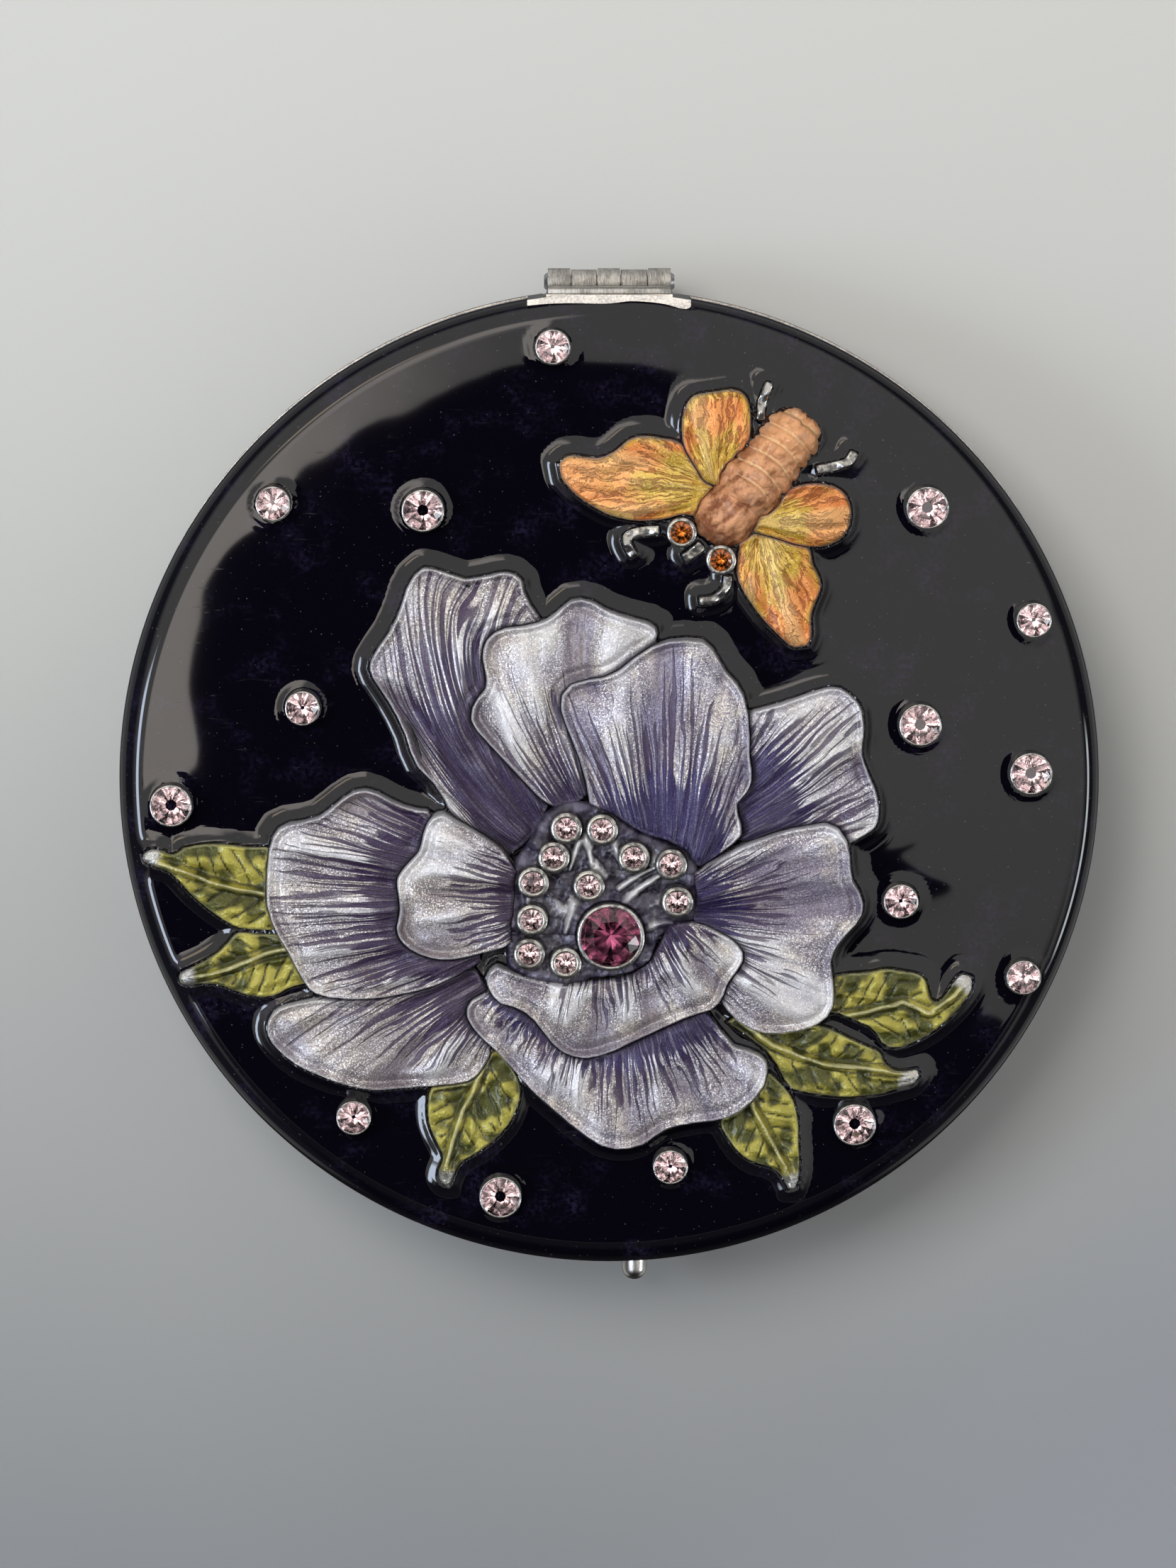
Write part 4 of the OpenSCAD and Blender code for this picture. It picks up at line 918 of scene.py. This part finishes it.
def lid_enamel(material):
    rim_start = LID_R - SHOULDER_R
    profile = [(rim_start * i / DECK_RINGS, ENAMEL_TOP) for i in range(1, DECK_RINGS + 1)]
    profile += [(rim_start + SHOULDER_R * math.sin(a), ENAMEL_TOP - SHOULDER_R * (1 - math.cos(a)))
                for a in np.linspace(0, math.pi / 2, SHOULDER_RINGS + 1)[1:]]
    profile += [(LID_R - SIDE_LEAN * i / 4, ENAMEL_TOP - SHOULDER_R - SIDE_HIGH * i / 4) for i in range(1, 5)]
    profile += [(LID_R - inward, ENAMEL_LOW + lift) for inward, lift in [(0.18, 0.03), (0.3, 0), (0.45, 0)]]
    profile += [(LID_R - 0.45, DECK_Z - 1), (rim_start, DECK_Z - 0.1)]
    profile = np.array(profile)
    r, z = np.repeat(profile, ENAMEL_TURNS, axis=0).T
    a = np.tile(np.linspace(0, 2 * math.pi, ENAMEL_TURNS, endpoint=False), len(profile))
    points = np.c_[r * np.cos(a), r * np.sin(a), z]
    upper = np.repeat(np.arange(len(profile)) < DECK_RINGS + SHOULDER_RINGS + 4, ENAMEL_TURNS)
    tall, leaf_gap, cup_gap = (np.full(len(points), FAR) for kind in range(3))
    for away, outline in zip((tall, leaf_gap, cup_gap), relief_outline()):
        away[upper] = distance_to(outline, points[upper, :2])
    deck = ramp(r, LID_R - 0.3, rim_start - 0.2)
    swell = lattice(points[:, 0] / 6 + 20, points[:, 1] / 6 + 20, 71) - 0.5
    swell += 0.35 * (lattice(points[:, 0] / 2.3 + 20, points[:, 1] / 2.3 + 20, 72) - 0.5)
    climb = np.maximum(0.34 * bell(tall, 0.55), 0.24 * bell(leaf_gap, 0.5)) + 0.05 * bell(cup_gap, 0.25)
    points[:, 2] += upper * deck * (0.006 * swell + climb)
    draw_back(points)
    points = np.vstack([points, [(0, 0, ENAMEL_TOP)], [(0, 0, DECK_Z - 0.1)]])
    faces = [face[:1] + face[:0:-1] for face in turned_faces(len(profile), ENAMEL_TURNS)]
    near = np.append(np.minimum(tall, leaf_gap), (FAR, FAR))
    make_piece("lid_enamel", points, faces, material, {"near": (near, 0, 0)})


def draw_back(points):
    """Draws the enamel back from the bare strip at the hinge."""
    xs, ys = np.array(BARE_EDGE).T
    line = np.interp(points[:, 0], xs, ys)
    inside = (points[:, 1] > line) & (points[:, 0] > xs[0]) & (points[:, 0] < xs[-1])
    ends = np.where(points[:, 0] > 0, xs[-1], xs[0])
    sideways = inside & (np.abs(points[:, 0] - ends) < points[:, 1] - line)
    points[sideways, 0] = ends[sideways]
    back = inside & ~sideways
    points[back, 1] = line[back]


def dark_enamel():
    paint = new_paint("dark enamel")
    cloud = paint.spots(0.28, detail=4.0, rough=0.6)
    speck = paint.spots(3.0)
    tint = cloud.rise(0.5, 0.75) * speck.rise(0.35, 0.7)
    turned = paint.noise(paint.stretch(paint.place(), (0.5, 5.0, 1.0)), scale=0.6, detail=4.0, rough=0.7)
    haze = turned.rise(0.6, 0.74) * cloud.rise(0.42, 0.62)
    dust = paint.spots(5.5, detail=0.0).rise(0.8, 0.86)
    colour = paint.over(
        (0.0022, 0.0018, 0.0045), (tint, (0.016, 0.012, 0.034)),
        (haze * 0.03 + dust * 0.12, (0.5, 0.5, 0.52)))
    groove = paint.bump(paint.packed("near")[0].rise(0.04, 0.2), 0.16)
    return paint.shader(colour=colour, rough=0.02 + haze * 0.08, ior=1.5, normal=groove)


# Stones and their settings

# Rings of a stone's corners: how many, how far turned (in steps), radius and height. They are those of the
# table, of the kites round it, of the girdle's upper and lower edge, and of the back.
JEWEL_RINGS = [(8, 0, 0.29, 0.155), (8, 0.5, 0.405, 0.095), (16, 0, 0.498, 0.022), (16, 0, 0.498, 0.0),
               (8, 0.5, 0.13, -0.3)]
CULET = (0, 0, -0.395)
# How brightly the three facets of the back that belong to each corner are lit
GLINTS = [(1.0, 0.1, 0.9), (0.5, 0.8, 0.3), (0.95, 0.05, 0.75), (0.35, 0.9, 0.5),
          (1.0, 0.25, 1.0), (0.7, 0.6, 0.05), (0.95, 0.95, 0.4), (0.4, 0.3, 0.7)]


def jewel_mesh():
    """Brilliant cut of diameter 1 with its girdle at z = 0, and its foiled back marked."""
    points, rings = [], []
    for count, turn, radius, z in JEWEL_RINGS:
        rings.append(range(len(points), len(points) + count))
        points += [(radius * math.cos(a), radius * math.sin(a), z) for a in angles_round(count, turn)]
    table, kite, girdle, under, low = rings
    culet = len(points)
    points.append(CULET)
    front = [tuple(table)]
    back = []
    for i in range(8):
        n, p = (i + 1) % 8, (i - 1) % 8
        g0, g1, g2 = 2 * i, 2 * i + 1, (2 * i + 2) % 16
        front += [(table[i], kite[i], table[n]), (table[i], kite[p], girdle[g0], kite[i]),
                  (kite[i], girdle[g0], girdle[g1]), (kite[i], girdle[g1], girdle[g2]),
                  (girdle[g0], under[g0], under[g1], girdle[g1]),
                  (girdle[g1], under[g1], under[g2], girdle[g2])]
        back += [(culet, low[i], under[g0], low[p]), (low[i], under[g1], under[g0]),
                 (low[i], under[g2], under[g1])]
    mesh = mesh_of("jewel", points, front + back)
    foil = [False] * len(front) + [True] * len(back)
    mesh.attributes.new("foil", "BOOLEAN", "FACE").data.foreach_set("value", foil)
    glint = [1.0] * len(front) + [light for corner in GLINTS for light in corner]
    mesh.attributes.new("glint", "FLOAT", "FACE").data.foreach_set("value", glint)
    return mesh


CUP_STEPS = 36


def cup_mesh(wall, low, high):
    """Bezel of a stone of diameter 1, with a rounded lip over the stone's girdle."""
    inner = 0.5
    outer = 0.5 + wall
    lip = inner - 0.35 * wall
    profile = [(inner - 0.12, -0.09), (inner - 0.005, -0.02), (lip, high * 0.45),
               (lip + 0.12 * wall, high * 0.95), (inner + 0.1 * wall, high),
               (outer - 0.15 * wall, high * 0.97), (outer, high * 0.6), (outer, -0.1),
               (outer + 0.01, low * 0.6), (outer + 0.03, low), (inner - 0.12, low)]
    points = [(r * math.cos(a), r * math.sin(a), z) for r, z in profile for a in angles_round(CUP_STEPS)]
    mesh = mesh_of("cup", points, ring_faces(len(profile), CUP_STEPS, closed=True))
    loose = bmesh.new()
    loose.from_mesh(mesh)
    bmesh.ops.recalc_face_normals(loose, faces=loose.faces)
    loose.to_mesh(mesh)
    loose.free()
    mesh.shade_smooth()
    return mesh


def setting_tree():
    """Geometry nodes that set one thing on every point, turned at random."""
    tree = bpy.data.node_groups.new("set on points", "GeometryNodeTree")
    face = tree.interface
    kinds = {"Points": "NodeSocketGeometry", "Thing": "NodeSocketObject", "Seed": "NodeSocketInt",
             "Face material": "NodeSocketMaterial", "Foil material": "NodeSocketMaterial"}
    for name, kind in kinds.items():
        face.new_socket(name, in_out="INPUT", socket_type=kind)
    face.new_socket("Result", in_out="OUTPUT", socket_type="NodeSocketGeometry")

    def add(kind, values=None, **settings):
        node = tree.nodes.new(kind)
        for key, value in settings.items():
            setattr(node, key, value)
        for key, value in (values or {}).items():
            if isinstance(value, bpy.types.NodeSocket):
                tree.links.new(value, node.inputs[key])
            else:
                node.inputs[key].default_value = value
        return node

    given = add("NodeGroupInput").outputs
    thing = add("GeometryNodeObjectInfo", {"Object": given["Thing"]}, transform_space="ORIGINAL")
    turn = add("FunctionNodeRandomValue", {0: (0, 0, 0), 1: (0, 0, 2 * math.pi), "Seed": given["Seed"]},
               data_type="FLOAT_VECTOR")
    size = add("GeometryNodeInputNamedAttribute", {"Name": "size"}, data_type="FLOAT")
    placed = add("GeometryNodeInstanceOnPoints",
                 {"Points": given["Points"], "Instance": thing.outputs["Geometry"],
                  "Rotation": turn.outputs[0], "Scale": size.outputs[0]})
    real = add("GeometryNodeRealizeInstances", {0: placed.outputs[0]})
    foil = add("GeometryNodeInputNamedAttribute", {"Name": "foil"}, data_type="BOOLEAN")
    first = add("GeometryNodeSetMaterial", {"Geometry": real.outputs[0], "Material": given["Face material"]})
    second = add("GeometryNodeSetMaterial", {"Geometry": first.outputs[0], "Selection": foil.outputs[0],
                                             "Material": given["Foil material"]})
    add("NodeGroupOutput", {0: second.outputs[0]})
    return tree


def set_on(name, tree, thing_mesh, places, sizes, seed, materials):
    """One piece: the thing set at every place, at its own size."""
    points = mesh_of("points", [Vector(place) * MM for place in places])
    points.attributes.new("size", "FLOAT", "POINT").data.foreach_set("value", [size * MM for size in sizes])
    holder = put("holder", points)
    thing = put("thing", thing_mesh)
    modifier = holder.modifiers.new("set", "NODES")
    modifier.node_group = tree
    values = {"Thing": thing, "Seed": seed, "Face material": materials[0], "Foil material": materials[-1]}
    for item in tree.interface.items_tree:
        if item.in_out == "INPUT" and item.name in values:
            modifier[item.identifier] = values[item.name]
    mesh = evaluated(holder)
    bpy.data.objects.remove(holder)
    bpy.data.objects.remove(thing)
    keep(put(name, mesh), "lid", (name,))


def set_stones(bright, dull):
    """Every stone in its cup, at the places of the CAD solids."""
    tree = setting_tree()
    jewel = jewel_mesh()
    pink = crystal("pink crystal", (0.95, 0.85, 0.865), (0.93, 0.83, 0.83))
    violet = crystal("violet crystal", (0.42, 0.19, 0.265), (0.62, 0.44, 0.52))
    amber = crystal("amber crystal", (0.52, 0.29, 0.13), (0.8, 0.54, 0.3))
    kinds = [("flower_stones", "flower_bezels", 0.17, 0.13, pink, "pink_stone", dull, 1),
             ("centre_stone", "centre_bezel", 0.052, 0.05, violet, "violet_stone", bright, 2),
             ("scatter_stones", "scatter_bezels", 0.04, 0.04, pink, "pink_stone", bright, 3),
             ("moth_eye_stones", "moth_eye_bezels", 0.13, 0.1, amber, "amber_stone", dull, 4)]
    for stones, cups, wall, high, glass, slot, metal, seed in kinds:
        places, sizes = [], []
        for solid in solids(stones):
            low, top = solid.min(0), solid.max(0)
            size = top[0] - low[0]
            places.append(((low[0] + top[0]) / 2, (low[1] + top[1]) / 2, low[2] + 0.4 * size))
            sizes.append(size)
        base = min(solid.min(0)[2] for solid in solids(cups))
        drop = (base - np.mean([place[2] for place in places])) / np.mean(sizes)
        set_on(stones, tree, jewel, places, sizes, seed, glass)
        set_on(cups, tree, cup_mesh(wall, drop, high), places, sizes, seed, (metal, metal))


def crystal(name, glass_colour, foil_colour):
    glass = new_paint(name).shader(colour=glass_colour, rough=0.0, clear=1.0, ior=1.56)
    paint = new_paint(name + " foil")
    glint = paint.add("ShaderNodeAttribute", {"attribute_name": "glint"}, output="Fac")
    foil = paint.shader(colour=paint.mix(glint, (0.02, 0.015, 0.02), foil_colour), rough=0.12, metal=1.0)
    return glass, foil


# Metals and the hidden pieces

def setting_metal(name, clean, tarnished):
    paint = new_paint(name)
    speck = paint.spots(2.2, detail=3.0)
    tarnish = speck.rise(0.42, 0.64)
    return paint.shader(colour=paint.mix(tarnish, clean, tarnished), metal=0.95, rough=0.24 + tarnish * 0.14,
                        normal=paint.bump(speck, 0.05, 0.6))


# Plate with fine scratches and a worn bloom, and bare metal gone matt: detail and roughness of the
# scratches, scale of the bloom, share of the scratches in the wear, limits of the wear, metallic,
# roughness where bright, what the wear adds to it, strength of the scratches
PLATE = (4, 0.7, 0.5, 0.6, 0.42, 0.62, 1.0, 0.28, 0.18, 0.6)
MATT = (3, 0.6, 0.9, 0.5, 0.4, 0.62, 0.7, 0.46, 0.14, 0.7)


def worn_metal(name, bright, dull, grain, kind=PLATE):
    """Metal scratched along the grain."""
    detail, rough, bloom, share, low, high, metal, smooth, wear, strength = kind
    paint = new_paint(name)
    scratch = paint.noise(paint.stretch(paint.place(), grain), detail=detail, rough=rough)
    cloud = paint.spots(bloom, detail=3.0)
    worn = (scratch * share + cloud * (1 - share)).rise(low, high)
    return paint.shader(colour=paint.mix(worn, bright, dull), metal=metal, rough=smooth + worn * wear,
                        normal=paint.bump(scratch, 0.02, strength))


def dress(nodes, material):
    for name in nodes:
        data = NODES[name].data
        data.materials.clear()
        data.materials.append(material)


# Radius (mm) of a hinge leaf's rounded edges
EDGE_ROUND = 0.09


def soft_edges(node, body, material):
    """Piece over a CAD node with its edges rounded."""
    loose = joined(node)
    bmesh.ops.dissolve_limit(loose, angle_limit=math.radians(1), verts=loose.verts, edges=loose.edges)
    mesh = new_mesh(node, loose)
    if body == "lid":
        slim_knuckles(mesh)
    piece = put(node, mesh)
    bevel = piece.modifiers.new("rounding", "BEVEL")
    bevel.width = EDGE_ROUND * MM
    bevel.segments = 3
    bevel.limit_method = "ANGLE"
    bevel.angle_limit = math.radians(50)
    smooth = evaluated(piece)
    piece.modifiers.remove(bevel)
    piece.data = smooth
    smooth.materials.append(material)
    smooth.shade_smooth()
    smooth.set_sharp_from_angle(angle=math.radians(35))
    keep(piece, body, (node,))


# Radii (mm) between which a vertex belongs to a knuckle, and the share of its radius that it loses
KNUCKLE_R = (0.8, 1.0)
KNUCKLE_SLIMMER = 0.1


def slim_knuckles(mesh):
    """Makes the lid's knuckles a little thinner than the base's."""
    low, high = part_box("hinge_pin")
    y, z = (low.y + high.y) / 2, (low.z + high.z) / 2
    for vertex in mesh.vertices:
        away = Vector((0, vertex.co.y - y, vertex.co.z - z))
        if KNUCKLE_R[0] * MM < away.length < KNUCKLE_R[1] * MM:
            vertex.co -= away * KNUCKLE_SLIMMER


# The button: length (mm) of its round end and what follows, thickness of its collar, steps round it
BUTTON_END = 3
COLLAR = 0.7
BUTTON_STEPS = 40


def button(material):
    """Push button with a round end, turned about its own axis."""
    solid = solids("push_button")[0]
    low, high = solid.min(0), solid.max(0)
    x, z = (low[0] + high[0]) / 2, (low[2] + high[2]) / 2
    outside = solid[solid[:, 1] < low[1] + BUTTON_END]
    radius = np.hypot(outside[:, 0] - x, outside[:, 2] - z).max()
    wide = (high[0] - low[0]) / 2
    profile = [(radius * math.sin(a), low[1] + radius * (1 - math.cos(a)))
               for a in np.linspace(0, math.pi / 2, 10)[1:]]
    profile += [(radius, high[1] - COLLAR), (wide, high[1] - COLLAR), (wide, high[1])]
    points = [(x + r * math.sin(a), y, z + r * math.cos(a)) for r, y in profile
              for a in angles_round(BUTTON_STEPS)]
    points += [(x, low[1], z), (x, high[1], z)]
    faces = turned_faces(len(profile), BUTTON_STEPS)
    piece = make_piece("push_button", points, faces, material, body="catch")
    piece.data.set_sharp_from_angle(angle=math.radians(50))


def bowed_spring(material):
    """Return spring of the catch, in its own copy of the CAD mesh; the real spring flattens against its guide
    as the button is pressed, which this piece does not.
    """
    piece = put("catch_spring", new_mesh("catch_spring", joined("catch_spring")))
    piece.data.materials.append(material)
    keep(piece, "base", ("catch_spring",))
    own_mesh(piece)


def dress_case():
    case = worn_metal("antique silver", (0.66, 0.65, 0.63), (0.47, 0.46, 0.445), (6, 6, 3))
    rim = worn_metal("polished strip silver", (0.9, 0.86, 0.8), (0.55, 0.52, 0.48), (6, 6, 3))
    hinge = worn_metal("worn hinge silver", (0.6, 0.57, 0.52), (0.3, 0.285, 0.265), (13, 1.6, 1.6), MATT)
    steel = worn_metal("spring steel", (0.62, 0.62, 0.63), (0.45, 0.45, 0.47), (0.6, 4, 4))
    bright = worn_metal("bright plate", (0.8, 0.8, 0.81), (0.66, 0.66, 0.68), (2, 2, 2))
    dress(["base_shell"], case)
    dress(["lid_shell"], rim)
    soft_edges("base_hinge_leaf", "base", hinge)
    soft_edges("lid_hinge_leaf", "lid", hinge)
    dress(["hinge_pin", "catch_guide", "catch_plate", "lid_hook"], steel)
    bowed_spring(steel)
    dress(["base_mirror_ring", "lid_mirror_ring"], bright)
    button(worn_metal("worn button silver", (0.64, 0.62, 0.59), (0.4, 0.385, 0.365), (3, 1, 3)))
    silvered = new_paint("silvered glass")
    smear = silvered.spots(0.15, detail=3.0)
    dress(["base_mirror", "lid_mirror"],
          silvered.shader(colour=(0.88, 0.9, 0.91), metal=1.0, rough=0.01 + smear * 0.02))
    foam = new_paint("adhesive foam")
    cells = foam.spots(4.0)
    dress(["base_mirror_pad", "lid_mirror_pad"],
          foam.shader(colour=foam.mix(cells, (0.03, 0.03, 0.03), (0.09, 0.09, 0.09)), rough=0.9,
                      normal=foam.bump(cells, 0.1)))


bpy.context.scene.view_settings.view_transform = "Standard"
place_camera()
light_room()
hang_card()
lay_floor()
dress_case()
lid_enamel(dark_enamel())
CARVED = {node: fine_copy(node, *FINENESS.get(node, USUAL))
          for node in ["flower_middle", "moth_body", *PETALS, *LEAVES, *WINGS]}
petal_finish = petal_enamel()
for number, node in enumerate(PETALS):
    petal(number, node, petal_finish)
flower_middle(dark_relief())
leaf_finish = leaf_enamel()
for number, node in enumerate(LEAVES):
    leaf(number, node, leaf_finish)
wing_finish = wing_enamel()
for node in WINGS:
    wing(node, wing_finish)
moth_body(body_enamel())
silver = setting_metal("setting silver", (0.52, 0.51, 0.49), (0.22, 0.215, 0.21))
dull_silver = setting_metal("dull setting silver", (0.48, 0.47, 0.44), (0.15, 0.14, 0.135))
moth_feelers(dull_silver)
set_stones(silver, dull_silver)
